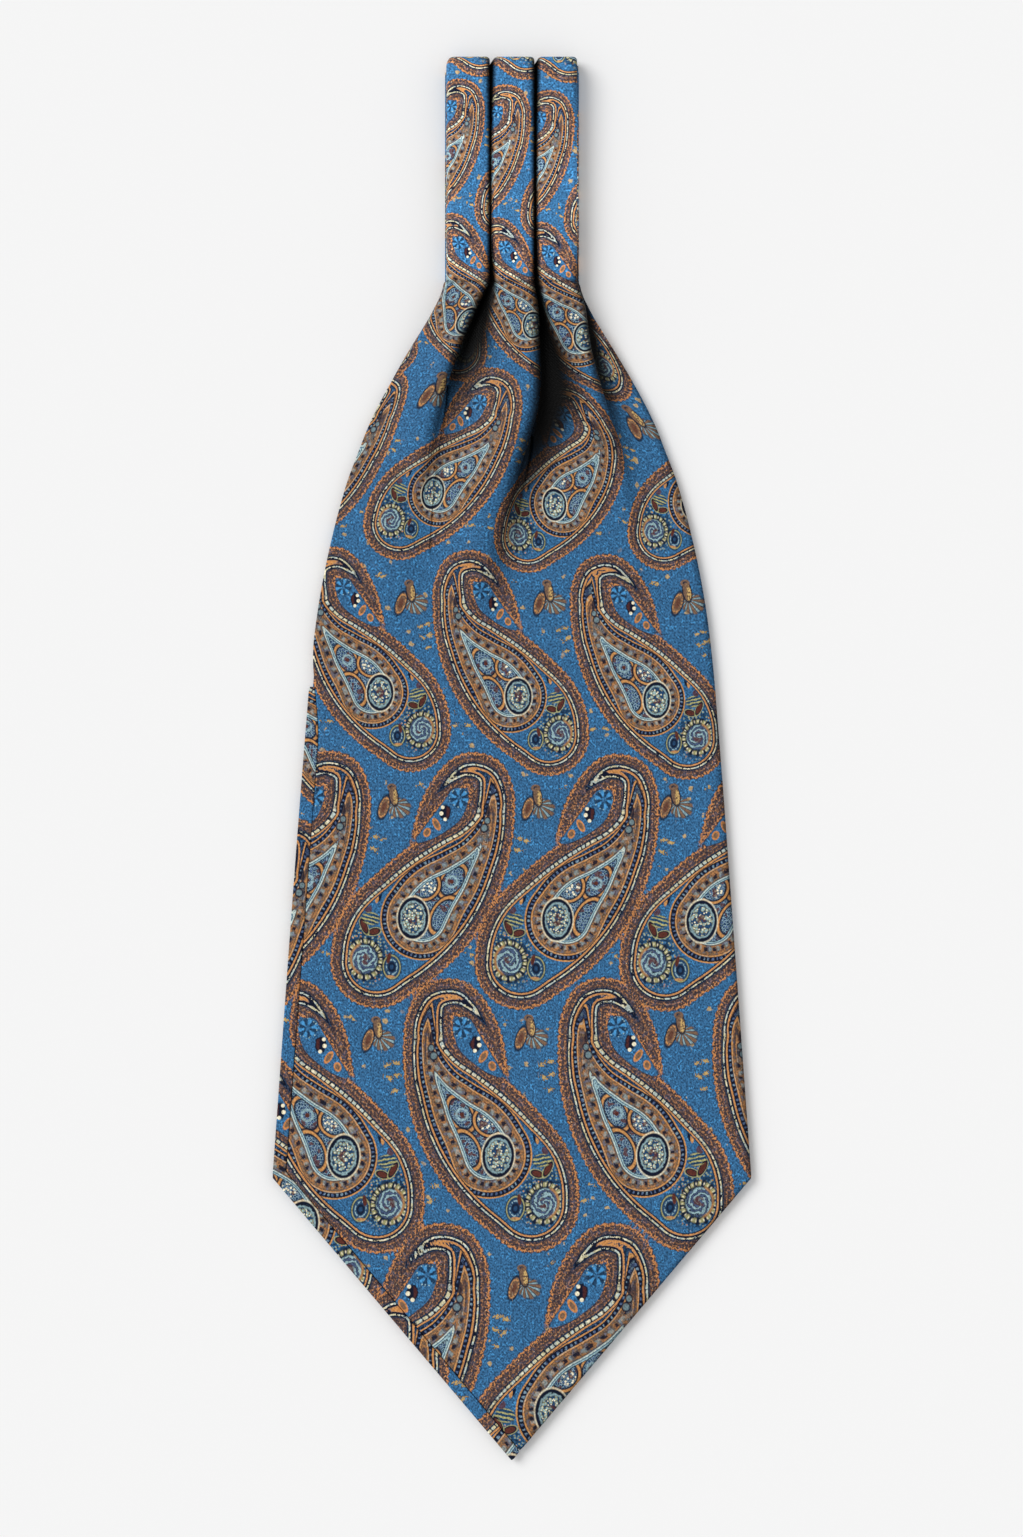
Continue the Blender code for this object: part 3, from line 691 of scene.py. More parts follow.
def hidden_surface():
    """Points and faces of the rings, closed by a fan at the fold and at the point."""
    top_y = FOLD_Y - RIM * CLOTH - SEAM_GAP
    y = np.concatenate([
        np.linspace(top_y, NECK_Y, 30)[:-1], np.linspace(NECK_Y, CORNER_Y, 160)[:-1],
        np.linspace(CORNER_Y, TIP_Y + 2 * REAR_INSET, 60),
    ])
    rings = hidden_rings(y)
    count, size = rings.shape[:2]
    index = np.arange(count * size).reshape(count, size)
    after = np.roll(index, -1, axis=1)
    sides = np.stack([index[:-1], index[1:], after[1:], after[:-1]], axis=-1).reshape(-1, 4)
    middle = rings[[0, -1]].mean(axis=1)
    first, last = count * size, count * size + 1
    fans = np.vstack([
        np.column_stack([index[0], after[0], np.full(size, first)]),
        np.column_stack([after[-1], index[-1], np.full(size, last)]),
    ])
    return np.vstack([rings.reshape(-1, 3), middle]), sides.tolist() + fans.tolist()


points, faces = hidden_surface()
under_silk = new_piece("under_silk", points, faces, points[:, :2], "hidden_layers", ROWS)

# %% [markdown]
# ## Writing shader maths as plain expressions
#
# A print is a long list of small rules: closer than this to the edge it is copper, then navy, then a
# row of dashes. Written as node links they can't be read, so one class lets a link be added,
# multiplied and compared like a number, and each rule is a line.

# %% A value that flows through nodes
class Value:
    """A socket of a material, with the operators of plain maths."""

    def __init__(self, tree, socket):
        self.tree, self.socket = tree, socket

    def make(self, kind, settings=None, values=None, output=0):
        """Any node: its type, its settings first, then the values or links of its sockets."""
        node = self.tree.nodes.new(kind)
        for name, setting in (settings or {}).items():
            setattr(node, name, setting)
        for name, value in (values or {}).items():
            if isinstance(value, Value):
                self.tree.links.new(value.socket, node.inputs[name])
            else:
                node.inputs[name].default_value = value
        return Value(self.tree, node.outputs[output])

    def maths(self, operation, *others):
        """One step of plain maths on this value, and on one other if the step takes two."""
        return self.make("ShaderNodeMath", {"operation": operation}, dict(enumerate((self, *others))))

    def __add__(self, other):
        return self.maths("ADD", other)

    def __sub__(self, other):
        return self.maths("SUBTRACT", other)

    def __mul__(self, other):
        return self.maths("MULTIPLY", other)

    def __truediv__(self, other):
        return self.maths("DIVIDE", other)

    def __rsub__(self, other):
        return self.make("ShaderNodeMath", {"operation": "SUBTRACT"}, {0: other, 1: self})

    __radd__ = __add__
    __rmul__ = __mul__

    def wave(self, period, shift=0.0):
        """The sine of a turn per period, set off by a shift: from -1 to 1."""
        return (self * (2 * np.pi / period) + shift).maths("SINE")

    def part(self):
        """What is left after the whole number is taken away."""
        return self.maths("FRACT")

    def rise(self, low, high):
        """0 below low, 1 above high."""
        values = {"Value": self, "From Min": low, "From Max": high, "To Min": 0.0, "To Max": 1.0}
        return self.make("ShaderNodeMapRange", {"interpolation_type": "SMOOTHSTEP"}, values)

    def within(self, low, high, soft=0.5):
        """1 between low and high, with soft borders."""
        return self.rise(low - soft, low + soft) * (1 - self.rise(high - soft, high + soft))

    def under(self, high, soft=0.5):
        """1 below high and 0 above it, with a soft border."""
        return 1 - self.rise(high - soft, high + soft)

    def parts(self):
        """The three numbers of a vector."""
        split = self.make("ShaderNodeSeparateXYZ", {}, {0: self})
        return [Value(self.tree, out) for out in split.socket.node.outputs]

    def paint(self, colour, mask):
        """This colour with another laid over it where mask is 1."""
        mixer = self.tree.nodes.new("ShaderNodeMix")
        mixer.data_type = "RGBA"
        for slot, value in ((0, mask), (6, self), (7, colour)):
            if isinstance(value, Value):
                self.tree.links.new(value.socket, mixer.inputs[slot])
            else:
                mixer.inputs[slot].default_value = value
        return Value(self.tree, mixer.outputs[2])

    def layered(self, *layers):
        """This colour with others laid over it in turn, each given with its mask."""
        result = self
        for colour, mask in layers:
            result = result.paint(colour, mask)
        return result

    def shaded(self, amount):
        """This colour with its brightness multiplied by amount."""
        return self.make("ShaderNodeHueSaturation", {}, {"Color": self, "Value": amount})


def silk_colour(red, green, blue):
    """A colour as printed, from 0 to 255, made linear for the renderer."""
    share = np.array([red, green, blue]) / 255
    linear = np.where(share <= 0.04045, share / 12.92, ((share + 0.055) / 1.055) ** 2.4)
    return (*linear.tolist(), 1.0)


print("a middle grey of 128, made linear:", round(silk_colour(128, 128, 128)[0], 3))

# %% [markdown]
# ## The printed silk
#
# The ground is a soft blue twill. The motifs are printed in copper, gold, cream, navy and pale aqua,
# as lines that follow the comma's edge. The mesh carries the distances; the material turns each band
# of distance into its colour.

# %% The colours of the print
BLUE = silk_colour(58, 110, 154)
DEEP_BLUE = silk_colour(38, 72, 108)
BRIGHT_BLUE = silk_colour(76, 152, 208)
COPPER = silk_colour(126, 98, 78)
DARK_COPPER = silk_colour(64, 54, 62)
PALE_COPPER = silk_colour(206, 138, 80)
NAVY = silk_colour(14, 22, 44)
GOLD = silk_colour(206, 148, 88)
CREAM = silk_colour(250, 240, 208)
OLIVE = silk_colour(118, 96, 74)
AQUA = silk_colour(158, 190, 196)
LILAC = silk_colour(96, 118, 158)
RUST = silk_colour(92, 48, 40)
LEAF_GREEN = silk_colour(176, 172, 116)
TAN = silk_colour(204, 170, 108)
print("ground:", [round(share, 3) for share in BLUE[:3]])


# %% The material, with the silk's own surface
SILK_SURFACE = {
    "Roughness": 0.46, "Specular IOR Level": 0.07, "Sheen Weight": 0.02, "Sheen Roughness": 0.4,
}
silk_print = bpy.data.materials.new("printed_silk")
silk_print.use_nodes = True
tree = silk_print.node_tree
shader = tree.nodes["Principled BSDF"]
for socket, value in SILK_SURFACE.items():
    shader.inputs[socket].default_value = value
start = Value(tree, None)


def plain(colour):
    """One colour to paint on."""
    made = start.make("ShaderNodeRGB")
    made.socket.default_value = colour
    return made


def field(attribute):
    """The three numbers that each point of the mesh carries under this name."""
    return start.make("ShaderNodeAttribute", {"attribute_name": attribute}, {}, 1).parts()


def noise(where, scale, detail):
    """Soft random specks, about 0.5 on average: a larger scale makes them finer."""
    values = {"Vector": where, "Scale": scale, "Detail": detail, "Roughness": 0.6}
    return start.make("ShaderNodeTexNoise", {"noise_dimensions": "2D"}, values)


def cells(where, scale, feature="F1", output=0):
    """Cells round scattered points: the distance from the nearest point, or each cell's own number."""
    settings = {"voronoi_dimensions": "2D", "feature": feature}
    return start.make("ShaderNodeTexVoronoi", settings, {"Vector": where, "Scale": scale}, output)


def oval(x, y, centre, size, tilt=0.0):
    """0 at the centre of an oval, 1 at its edge: its half length and half width are the size."""
    away_x, away_y = x - centre[0], y - centre[1]
    turn_x, turn_y = np.cos(np.radians(tilt)), np.sin(np.radians(tilt))
    long_way = (away_x * turn_x + away_y * turn_y) / size[0]
    short_way = (away_y * turn_x - away_x * turn_y) / size[1]
    return (long_way * long_way + short_way * short_way).maths("POWER", 0.5)


def turn_about(x, y, centre):
    """The angle of the line from the centre to each place, in radians."""
    return (y - centre[1]).maths("ARCTAN2", x - centre[0])


def tell(what):
    print(f"{what}: {len(tree.nodes)} nodes so far")


# %% [markdown]
# ### Fields and grain
#
# The mesh's fields come in once, and so do the noises. Everything printed is a little ragged, because
# the weave breaks up its outline, so nearly every rule below adds some of that grain.

# %% The fields that the mesh carries, and the grain of the silk
silk = start.make("ShaderNodeAttribute", {"attribute_name": "silk_place"}, {}, 1)
edge, travel, lobe = field("outline_field")
drop, drop_travel, _ = field("teardrop_field")
x, y, _ = field("motif_place")
sprig_x, sprig_y = (part / SPRIG_SIZE for part in field("sprig_place")[:2])
across, along, _ = silk.parts()

fine = noise(silk, 0.5, 1.0)
grain = noise(silk, 0.17, 3.0)
broad = noise(silk, 0.03, 2.0)
speck, drift = fine - 0.5, grain - 0.5
mosaic = cells(silk, 0.27)
mosaic_tone = cells(silk, 0.27, output=1).parts()[0]
loops = cells(silk, 0.25, "DISTANCE_TO_EDGE")
tell("fields and grain")

# %% [markdown]
# ### The blue ground
#
# Silk takes its dye unevenly. Two noises of different grain decide where the blue is deeper and where
# it is brighter.

# %% The blue ground, speckled, and brighter in places
blue = plain(BLUE)
blue = blue.layered(
    (DEEP_BLUE, fine.under(0.46, 0.06) * 0.5),
    (BRIGHT_BLUE, grain.rise(0.52, 0.62) * fine.rise(0.5, 0.58) * 0.7),
)
tell("blue ground")

# %% [markdown]
# ### Flecks and blossoms
#
# Small gold strokes and brown blossoms fill the blue between the motifs. Each is made of ovals: the
# distance from an oval's centre is one short formula, and a line or a spot is a range of it.

# %% Gold flecks in twos and threes between the motifs
ground = blue
for fleck in FLECKS:
    tilt = 35.0 * np.sin(fleck["x"] * 1.7)
    shape = oval(x, y, (fleck["x"], fleck["y"]), (3.0, 1.5), tilt) + speck * 3.4
    ground = ground.layered(
        (NAVY, shape.under(1.5, 0.3) * 0.5),
        (TAN, shape.under(0.9, 0.25)),
    )
loose = cells(silk, 0.05) + drift * 0.5
loose_tone = cells(silk, 0.05, output=1).parts()[0]
ground = ground.paint(TAN, loose.under(0.08, 0.03) * loose_tone.rise(0.5, 0.55) * 0.8)
tell("flecks")

# %% Brown blossoms: a broad petal, a bent stem with a dark head, and a fan of pale petals
fan = oval(sprig_x, sprig_y, (5.0, -4.5), (8.5, 7.5))
rays = (turn_about(sprig_x, sprig_y, (1.0, -1.0)) * 13.0).maths("SINE")
petal = oval(sprig_x, sprig_y, (-7.0, -4.0), (8.5, 3.6), 72.0)
bud = oval(sprig_x, sprig_y, (0.5, 5.0), (7.5, 3.2), 100.0)
ground = ground.layered(
    (NAVY, fan.under(1.05, 0.15) * 0.75),
    (COPPER, fan.under(1.05, 0.12) * rays.under(-0.1, 0.25)),
    (AQUA, fan.under(0.92, 0.1) * rays.rise(0.35, 0.7) * 0.75),
    (NAVY, petal.under(1.25, 0.12) * 0.85),
    (COPPER, petal.under(1.0, 0.1)),
    (GOLD, petal.within(0.74, 0.94, 0.07) * fine.rise(0.44, 0.52) * 0.8),
    (RUST, petal.under(0.5, 0.15) * 0.7),
    (NAVY, bud.under(1.2, 0.12) * 0.9),
    (COPPER, bud.under(0.95, 0.12) * 0.9),
    (TAN, bud.under(0.9, 0.12) * sprig_x.rise(-0.5, 1.5) * fine.rise(0.4, 0.5)),
    (COPPER, oval(sprig_x, sprig_y, (-1.0, 11.5), (3.6, 2.8)).within(0.5, 1.0, 0.15)),
)
tell("blossoms")

# %% [markdown]
# ### The copper border
#
# Each motif has a broad border of fine copper loops. Cells scattered over the silk make the loops, and
# waves along the motif's edge and across it make the scallops and the dark strokes.

# %% The copper border: loops with dark hearts, scalloped outside, darker inside
rim = edge + travel.wave(6.5) * 0.5 + speck * 2.0
copper = plain(COPPER)
copper = copper.layered(
    (DARK_COPPER, loops.rise(0.14, 0.26) * 0.85),
    (DARK_COPPER, fine.under(0.47, 0.05) * 0.6),
)
outer = rim.rise(-7.0, -2.5) * 0.6 + 0.35
copper = copper.layered(
    (PALE_COPPER, loops.under(0.1, 0.04) * fine.rise(0.48, 0.56) * outer),
    (CREAM, mosaic.under(0.1, 0.04) * mosaic_tone.rise(0.7, 0.75) * 0.8),
    (LILAC, grain.under(0.42, 0.05) * 0.3),
)
stroke = (travel + edge * 0.7).wave(4.4, drift * 9.0)
streak = edge.wave(3.4, drift * 7.0 + speck * 3.0)
inner = edge.under(-3.6, 0.8)
copper = copper.layered(
    (DARK_COPPER, inner * streak.under(-0.3, 0.3) * 0.6),
    (PALE_COPPER, inner * streak.rise(0.5, 0.9) * fine.rise(0.42, 0.52) * 0.45),
    (DARK_COPPER, stroke.under(-0.5, 0.25) * 0.5),
)
colour = ground.paint(NAVY, rim.under(0.6) * 0.5)
colour = colour.layered(
    (copper, rim.under(0.0)),
    (PALE_COPPER, rim.within(-2.0, 0.0, 0.4) * fine.rise(0.42, 0.5) * 0.85),
    (DARK_COPPER, rim.within(-3.4, -2.4, 0.4) * fine.under(0.52, 0.06) * 0.5),
)
tell("copper border")

# %% [markdown]
# ### Bands and dashes
#
# Navy lines, a blue band and a row of cream dashes follow at fixed distances from the edge. They run
# closer together at the comma's left and wider apart above, so the distance is scaled there.

# %% The bands inside the border
tight = x.under(-14.0, 8.0) * y.rise(-105.0, -85.0)
loose_side = (x * 0.7 + y).rise(-75.0, -55.0) * y.under(-50.0, 6.0)
band = edge * (tight * 0.14 + 1.0 - loose_side * 0.15) + speck * 0.7
colour = colour.layered(
    (NAVY, band.within(-9.6, -8.4, 0.35) * 0.8),
    (blue, band.under(-9.0)),
    (NAVY, band.within(-13.0, -9.0, 0.35)),
)
dash = (travel / 12.0 + grain * 1.8).part().under(0.8, 0.04)
block = (travel / 4.9 + grain * 0.5).part().under(0.72, 0.08)
thin_dash = dash * band.within(-11.3, -10.1, 0.3)
wide_block = block * band.within(-12.1, -9.8, 0.35)
dashes = thin_dash + (wide_block - thin_dash) * loose_side
colour = colour.layered(
    (CREAM, dashes * 0.95),
    (LEAF_GREEN, dashes * mosaic_tone.under(0.4, 0.05) * 0.5),
    (AQUA, dashes * mosaic_tone.rise(0.5, 0.6) * 0.7),
)
tell("bands and dashes")

# %% [markdown]
# ### The crescent
#
# Between the bands and the inner teardrop lies a crescent of blue. It holds a round flower with a
# spiral heart, two leaves, a spray and a pod. The flower's teeth are waves of the angle about its centre.

# %% The flower in the crescent
upper = (x * 0.45 + y).rise(-92.0, -76.0)
upper_dot = (travel / 4.2 + grain).part().within(0.2, 0.55, 0.1) * fine.rise(0.42, 0.52)
flowered = blue.paint(NAVY, upper * 0.92)
flowered = flowered.paint(LILAC, upper * upper_dot * 0.7)
near_flower = oval(x, y, (95.0, -180.0), (27.0, 21.0), 80.0).under(1.0, 0.25)
seeds = near_flower * mosaic.under(0.24, 0.06)
flowered = flowered.layered(
    (NAVY, near_flower * mosaic.rise(0.3, 0.5) * 0.7),
    (LEAF_GREEN, seeds * mosaic_tone.rise(0.3, 0.35) * 0.8),
    (GOLD, seeds * mosaic_tone.under(0.2, 0.03)),
)
turn = turn_about(x, y, (95.7, -184.0))
flower = oval(x, y, (95.7, -184.0), (17.5, 15.5), 80.0)
teeth = (turn * 15.0 + flower * 3.0).maths("SINE")
spiral = (flower * 16.0).wave(4.4, turn * 3.0 + drift * 9.0)
beads = (turn * 29.0).maths("SINE").rise(0.2, 0.6)
flowered = flowered.layered(
    (NAVY, (flower + teeth * 0.06).under(1.08, 0.06) * 0.9),
    (LEAF_GREEN, flower.within(0.8, 1.02, 0.06) * teeth.rise(-0.2, 0.3) * 0.8),
    (CREAM, flower.within(0.86, 0.98, 0.06) * beads * 0.7),
    (AQUA, flower.under(0.72, 0.06) * spiral.rise(0.0, 0.5) * 0.9),
    (LILAC, flower.under(0.72, 0.06) * spiral.under(-0.4, 0.2) * 0.5),
    (RUST, flower.under(0.3, 0.08) * mosaic_tone.rise(0.4, 0.5) * 0.8),
    (GOLD, flower.within(0.7, 0.82, 0.06) * x.rise(98.0, 102.0) * 0.7),
)
tell("flower")

# %% Its leaves, spray and pod
for centre, size, tilt in (((88.0, -159.5), (5.0, 2.8), -15.0), ((97.0, -155.0), (6.6, 2.5), 65.0)):
    leaf = oval(x, y, centre, size, tilt)
    flowered = flowered.layered(
        (LEAF_GREEN, leaf.under(1.35, 0.1) * 0.8),
        (NAVY, leaf.under(1.12, 0.1)),
        (RUST, leaf.under(0.85, 0.12)),
    )
spray = oval(x, y, (91.5, -148.0), (8.0, 5.5), 10.0)
streak = (y - x * 0.25).wave(3.4, drift * 5.0)
flowered = flowered.layered(
    (NAVY, spray.under(1.05, 0.15) * 0.6),
    (LEAF_GREEN, spray.under(1.0, 0.15) * streak.rise(0.0, 0.5)),
    (RUST, oval(x, y, (94.0, -139.5), (3.4, 3.4)).under(1.0, 0.15) * 0.8),
    (NAVY, oval(x, y, (84.0, -127.0), (6.5, 1.8), 100.0).under(1.0, 0.2)),
    (GOLD, oval(x, y, (86.5, -130.5), (4.0, 1.5), 95.0).under(1.0, 0.2)),
)
pod = oval(x, y, (71.6, -190.0), (11.0, 8.0), 85.0)
flowered = flowered.layered(
    (NAVY, pod.under(1.08, 0.08) * 0.8),
    (LEAF_GREEN, pod.within(0.86, 0.98, 0.05) * 0.85),
    (DEEP_BLUE, pod.under(0.8, 0.05)),
    (AQUA, pod.within(0.52, 0.64, 0.05) * fine.rise(0.42, 0.5) * 0.8),
    (NAVY, pod.within(0.2, 0.42, 0.08) * 0.9),
    (GOLD, oval(x, y, (72.5, -198.5), (3.8, 1.3)).under(1.0, 0.25) * 0.8),
    (RUST, oval(x, y, (74.5, -182.5), (4.8, 1.7), 100.0).under(1.0, 0.2)),
)
colour = colour.paint(flowered, band.under(-15.6))
tell("leaves and pod")

# %% [markdown]
# ### The teardrop
#
# A teardrop inside the comma repeats it on a smaller scale. Its bands follow its own edge, with dots,
# ovals and beads along them, and lie closer together towards its tip.

# %% The teardrop's bands
drop = drop * (y.rise(-108.0, -80.0) * 0.2 + 1.0) + speck * 0.6
bands = colour.paint(GOLD, drop.under(0.0, 0.35))
bands = bands.paint(NAVY, drop.under(-1.3, 0.35))
light_dot = (drop_travel / 4.2 + grain).part().within(0.2, 0.62, 0.1) * drop.within(-4.9, -2.6, 0.5)
bands = bands.layered(
    (LILAC, light_dot * 0.75),
    (AQUA, light_dot * mosaic_tone.rise(0.6, 0.7) * 0.5),
    (GOLD, drop.under(-5.6, 0.35)),
    (AQUA, drop.within(-6.3, -5.6, 0.3) * mosaic_tone.rise(0.4, 0.6) * 0.4),
    (DARK_COPPER, drop.within(-7.8, -6.9, 0.3) * 0.8),
    (OLIVE, drop.under(-7.6, 0.4)),
    (PALE_COPPER, drop.under(-7.6, 0.4) * grain.rise(0.5, 0.58) * 0.5),
    (LILAC, drop.under(-7.6, 0.4) * grain.under(0.42, 0.05) * 0.4),
    (DARK_COPPER, drop.within(-10.2, -9.4, 0.3) * fine.under(0.54, 0.05) * 0.7),
)
oval_beat = (drop_travel / 11.5 + grain * 0.6).part()
bands = bands.layered(
    (AQUA, oval_beat.within(0.5, 0.85, 0.08) * drop.within(-14.4, -10.6, 0.5) * 0.4),
    (NAVY, oval_beat.within(0.47, 0.53, 0.05) * drop.within(-14.4, -10.6, 0.5) * 0.6),
    (NAVY, oval_beat.within(0.08, 0.4, 0.06) * drop.within(-13.8, -10.4, 0.5) * 0.95),
)
in_tip = y.rise(-76.0, -62.0) * drop.under(-8.0, 0.4)
bands = bands.layered(
    (DARK_COPPER, in_tip * drop.wave(3.2).rise(0.0, 0.6) * 0.8),
    (GOLD, in_tip * drop.wave(3.2).under(-0.6, 0.3) * 0.5),
)
tip_beads = (((-8.0, -50.0), (1.6, 4.5)), ((-8.0, -59.0), (2.6, 3.0)), ((-5.5, -65.5), (3.2, 3.4)))
for centre, half in tip_beads:
    bead = oval(x, y, centre, half)
    bands = bands.layered(
        (NAVY, bead.under(1.2, 0.15) * 0.9),
        (AQUA, bead.under(0.8, 0.2) * y.under(-54.0, 1.0) * 0.45),
    )
bands = bands.layered(
    (DARK_COPPER, drop.within(-16.2, -15.2, 0.4) * 0.8),
    (AQUA, drop.under(-16.0, 0.4)),
    (CREAM, drop.within(-16.9, -16.3, 0.3) * 0.5),
    (DEEP_BLUE, drop.within(-17.9, -17.2, 0.25) * 0.8),
    (NAVY, drop.under(-18.8, 0.35)),
)
tell("teardrop")

# %% [markdown]
# ### The heart
#
# The middle of the teardrop is parted by gold lines into cells of lace, with a round medallion in the
# last one. The cells are ovals that touch, so their gold edges form the parting lines.

# %% The cells at the teardrop's heart
in_heart = drop.under(-19.4, 0.4)
heart = bands.paint(DEEP_BLUE, in_heart)
heart = heart.paint(LILAC, in_heart * fine.rise(0.47, 0.55) * 0.8)
lace = cells(silk, 0.36, "DISTANCE_TO_EDGE")
heart = heart.layered(
    (NAVY, in_heart * lace.within(0.14, 0.24, 0.04) * 0.7),
    (AQUA, in_heart * lace.under(0.08, 0.04) * 0.85),
)
pearls = oval(x, y, (41.0, -119.5), (7.0, 6.0)).under(1.0, 0.2) * mosaic.under(0.3, 0.07)
heart = heart.layered(
    (CREAM, in_heart * pearls),
    (RUST, in_heart * mosaic_tone.rise(0.8, 0.85) * 0.8),
)
swirl = oval(x, y, (21.5, -113.5), (7.5, 7.5))
heart = heart.layered(
    (AQUA, in_heart * swirl.within(0.5, 0.75, 0.08) * 0.8),
    (RUST, in_heart * swirl.under(0.26, 0.08)),
    (AQUA, in_heart * y.rise(-97.0, -92.0) * mosaic_tone.rise(0.4, 0.5) * 0.8),
)
for centre, size, tilt in (
    ((20.6, -113.0), (16.2, 9.6), -57.0),
    ((44.5, -118.0), (13.0, 11.6), -40.0),
    ((27.5, -143.5), (17.5, 10.5), -62.0),
):
    cell = oval(x, y, centre, size, tilt)
    heart = heart.layered(
        (NAVY, in_heart * cell.within(0.8, 1.2, 0.05) * 0.9),
        (GOLD, in_heart * cell.within(0.92, 1.08, 0.04)),
    )
tell("cells")

# %% The medallion in the last cell
medallion = oval(x, y, (54.3, -146.5), (18.0, 13.2), 90.0)
ring = medallion + (mosaic_tone - 0.5) * 0.07
lattice = cells(silk, 0.24)
heart = heart.layered(
    (CREAM, medallion.under(1.1, 0.04) * 0.7),
    (NAVY, medallion.under(1.02, 0.04)),
    (AQUA, ring.within(0.74, 0.84, 0.04) * 0.8),
    (DEEP_BLUE, ring.under(0.72, 0.05)),
    (LEAF_GREEN, ring.under(0.72, 0.05) * lattice.under(0.42, 0.08) * 0.75),
    (AQUA, ring.under(0.72, 0.05) * lattice.under(0.26, 0.06)),
    (CREAM, ring.under(0.66, 0.05) * mosaic.under(0.2, 0.06)),
    (RUST, medallion.within(0.08, 0.3, 0.06) * mosaic_tone.rise(0.35, 0.45) * 0.8),
)
colour = colour.paint(heart, band.under(-13.6, 0.3) * drop.under(0.0, 0.3))
tell("heart")

# %% The gold line and its dark edge run on over crescent and teardrop
colour = colour.layered(
    (GOLD, band.within(-14.5, -13.0, 0.3)),
    (PALE_COPPER, band.within(-14.2, -13.4, 0.3) * 0.6),
    (NAVY, band.within(-15.4, -14.5, 0.3) * 0.9),
)
tell("gold line")

# %% [markdown]
# ### The hook
#
# The comma's hooked tip bends round a lobe of plain blue, with a rosette, a dark bloom, three beads
# and two copper leaves on it.

# %% The ornaments in the hook
in_lobe = (lobe + speck * 1.2).under(0.0, 0.4)
hook = colour.paint(NAVY, lobe.under(0.8, 0.4) * 0.6)
hook = hook.paint(blue, in_lobe)
rosette = oval(x, y, (17.0, -40.0), (9.0, 9.0))
rosette_ray = (turn_about(x, y, (17.0, -40.0)) * 6.0).maths("SINE")
hook = hook.layered(
    (NAVY, rosette.within(0.2, 0.95, 0.1) * rosette_ray.under(-0.2, 0.2) * 0.7 * in_lobe),
    (BRIGHT_BLUE, rosette.within(0.35, 0.85, 0.1) * rosette_ray.rise(0.1, 0.5) * in_lobe),
    (AQUA, rosette.within(0.8, 1.0, 0.06) * mosaic.under(0.2, 0.06) * in_lobe),
)
bloom = oval(x, y, (29.0, -53.0), (6.8, 4.6), 95.0) + drift * 0.6
hook = hook.layered(
    (NAVY, bloom.under(1.0, 0.12) * in_lobe),
    (RUST, bloom.under(0.8, 0.12) * x.under(28.0, 0.8) * 0.7 * in_lobe),
)
for centre, half in (((31.5, -48.5), 1.6), ((32.5, -54.0), 1.8), ((29.0, -59.0), 1.6)):
    hook = hook.paint(CREAM, oval(x, y, centre, (half, half)).under(1.0, 0.2))
for centre, size, tilt in (((36.5, -63.5), (6.0, 2.9), 60.0), ((44.5, -71.0), (4.2, 3.2), -70.0)):
    blade = oval(x, y, centre, size, tilt)
    hook = hook.layered(
        (PALE_COPPER, blade.under(1.0, 0.12) * in_lobe),
        (COPPER, blade.under(0.6, 0.12) * in_lobe),
    )
colour = hook
tell("hook")

# %% [markdown]
# ### The weave
#
# Twill has fine slanting ribs. Two waves across the silk and the finest noise make the colour lighter
# and darker, and the same numbers raise the surface a little. The painted shade of the pleats multiplies
# it.

# %% The twill's grain and the shade over all of it
twill = (across + along).wave(3.1) * 0.5 + (across - along).wave(4.3) * 0.3
# Painted shade: the pleat_shade field darkens the colour in the pleats, at the seam, along the right edge
# and the press line, and brightens the band; it multiplies the weave's grain.
painted_shade = field("pleat_shade")[0]
grain_and_shade = (speck * 1.1 + twill * 0.12 + (broad - 0.5) * 0.25 + 0.9) * painted_shade
colour = colour.shaded(grain_and_shade)
tree.links.new(colour.socket, shader.inputs["Base Color"])
bump_values = {"Strength": 0.35, "Distance": 0.00025, "Height": fine + twill * 0.25}
bump = start.make("ShaderNodeBump", {}, bump_values)
tree.links.new(bump.socket, shader.inputs["Normal"])
print(f"{silk_print.name}: {len(tree.nodes)} nodes")
for piece in (front_silk, band_silk, strip_silk, under_silk):
    piece.data.materials.append(silk_print)

# %% [markdown]

# %% [markdown]
# ## The table, the light and the camera
#
# The cravat is photographed from straight above on a plain pale surface. A broad soft light from the
# upper left models the pleats and throws a short shadow to the lower right, and an even light from all
# round fills it. Both are plain: a sun with a wide disc, and a white world.

# %% Table
TABLE_REACH = 3.0
TABLE_GREY = 0.9


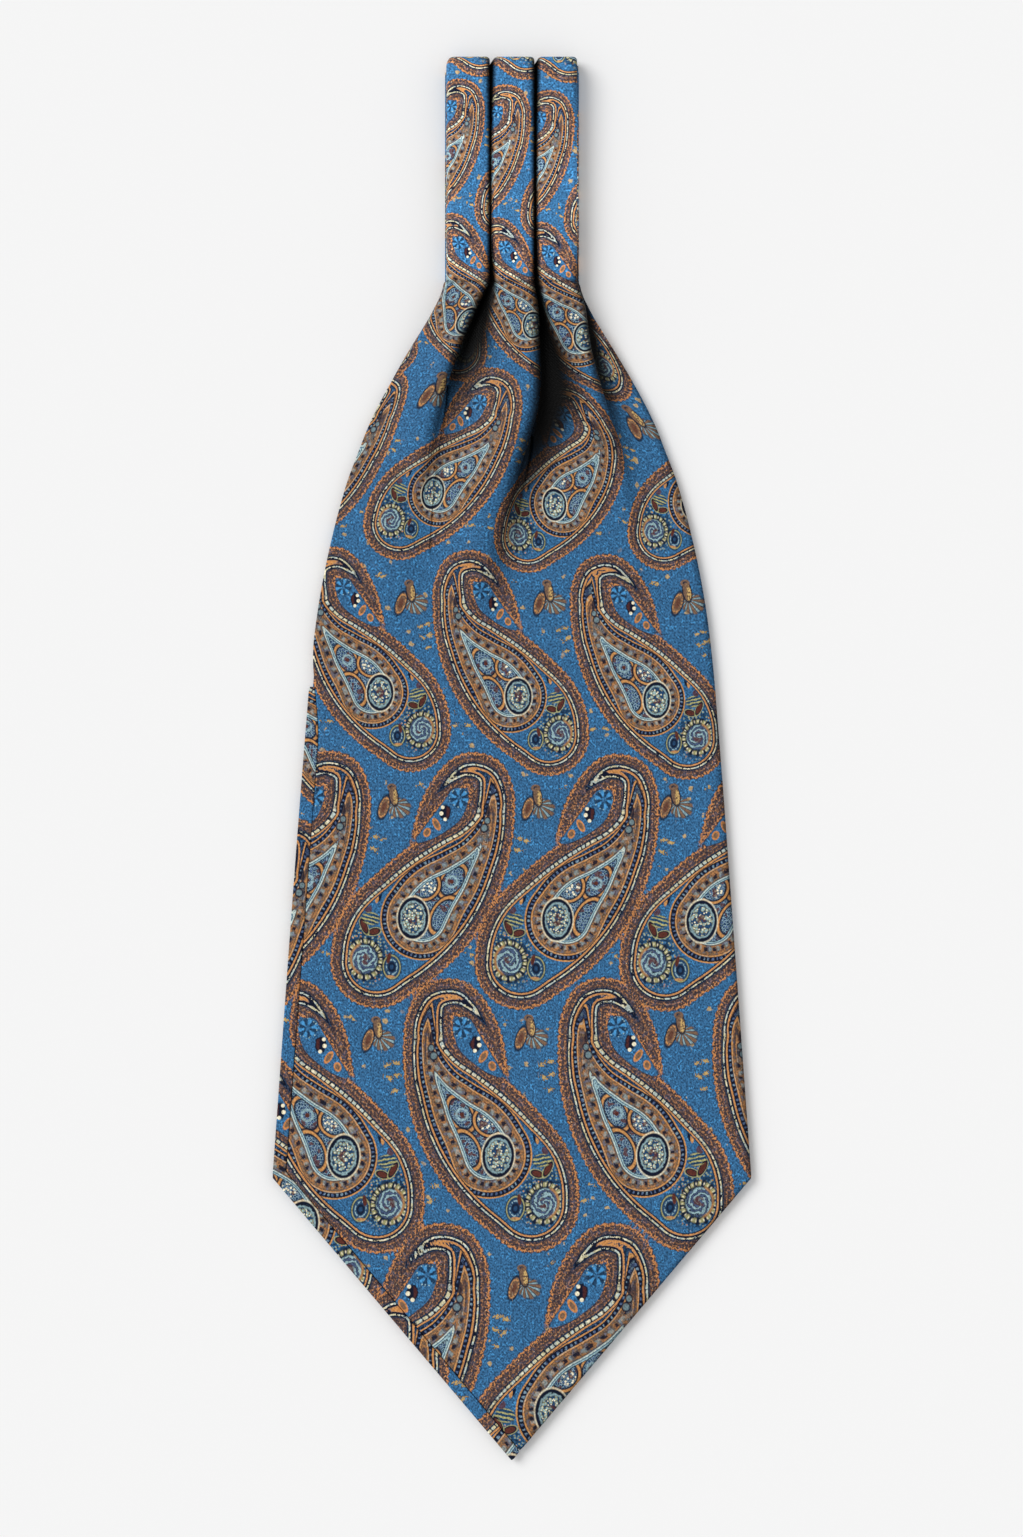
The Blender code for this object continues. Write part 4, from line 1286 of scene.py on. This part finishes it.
def pale_table():
    """A plain pale square under the cravat."""
    mesh = bpy.data.meshes.new("table")
    ends = ((-1, -1), (1, -1), (1, 1), (-1, 1))
    corners = [(x * TABLE_REACH, y * TABLE_REACH, 0) for x, y in ends]
    mesh.from_pydata(corners, [], [(0, 1, 2, 3)])
    material = bpy.data.materials.new("pale_table")
    material.use_nodes = True
    surface = material.node_tree.nodes["Principled BSDF"]
    surface.inputs["Base Color"].default_value = (TABLE_GREY, TABLE_GREY, TABLE_GREY, 1)
    surface.inputs["Roughness"].default_value = 0.9
    surface.inputs["Specular IOR Level"].default_value = 0.1
    mesh.materials.append(material)
    floor = bpy.data.objects.new("table", mesh)
    bpy.context.scene.collection.objects.link(floor)
    return floor


table = pale_table()
print(f"table: {2 * TABLE_REACH:g} m a side")

# %% Light
SUN_AZIMUTH, SUN_ELEVATION, SUN_SOFTNESS, SUN_STRENGTH = 145, 45, 36, 1.66
ROOM_STRENGTH = 0.645


def soft_sun(name, azimuth, elevation, softness, strength):
    """Even light from a far soft source: azimuth from +X, elevation above the table, in degrees."""
    data = bpy.data.lights.new(name, "SUN")
    data.angle = np.radians(softness)
    data.energy = strength
    lamp = bpy.data.objects.new(name, data)
    lamp.rotation_euler = (np.radians(90 - elevation), 0, np.radians(azimuth + 90))
    bpy.context.scene.collection.objects.link(lamp)
    return lamp


sun = soft_sun("window", SUN_AZIMUTH, SUN_ELEVATION, SUN_SOFTNESS, SUN_STRENGTH)
world = bpy.data.worlds.new("room")
world.use_nodes = True
background = world.node_tree.nodes["Background"]
background.inputs["Color"].default_value = (1, 1, 1, 1)
background.inputs["Strength"].default_value = ROOM_STRENGTH
bpy.context.scene.world = world
bpy.context.scene.view_settings.view_transform = "Standard"
print(f"light: {sun.name} {SUN_STRENGTH:g}, room {ROOM_STRENGTH:g}")

# %% Camera, straight above, framing the photograph's 1023 by 1537 pixels
PICTURE_WIDTH, PICTURE_HEIGHT = 1023, 1537
PICTURE_CENTRE_X, PICTURE_CENTRE_Y = -0.16, -2.85
CAMERA_HEIGHT = 1.5
camera_data = bpy.data.cameras.new("camera")
camera_data.sensor_width = 36.0
camera_data.lens = 36.0 * CAMERA_HEIGHT / (PICTURE_HEIGHT * UNIT * MM)
camera_data.clip_end = 20
camera = bpy.data.objects.new("camera", camera_data)
camera.location = (PICTURE_CENTRE_X * MM, PICTURE_CENTRE_Y * MM, CAMERA_HEIGHT + 0.004)
bpy.context.scene.collection.objects.link(camera)
bpy.context.scene.camera = camera
print(f"lens {camera_data.lens:.1f} mm at {CAMERA_HEIGHT:g} m")
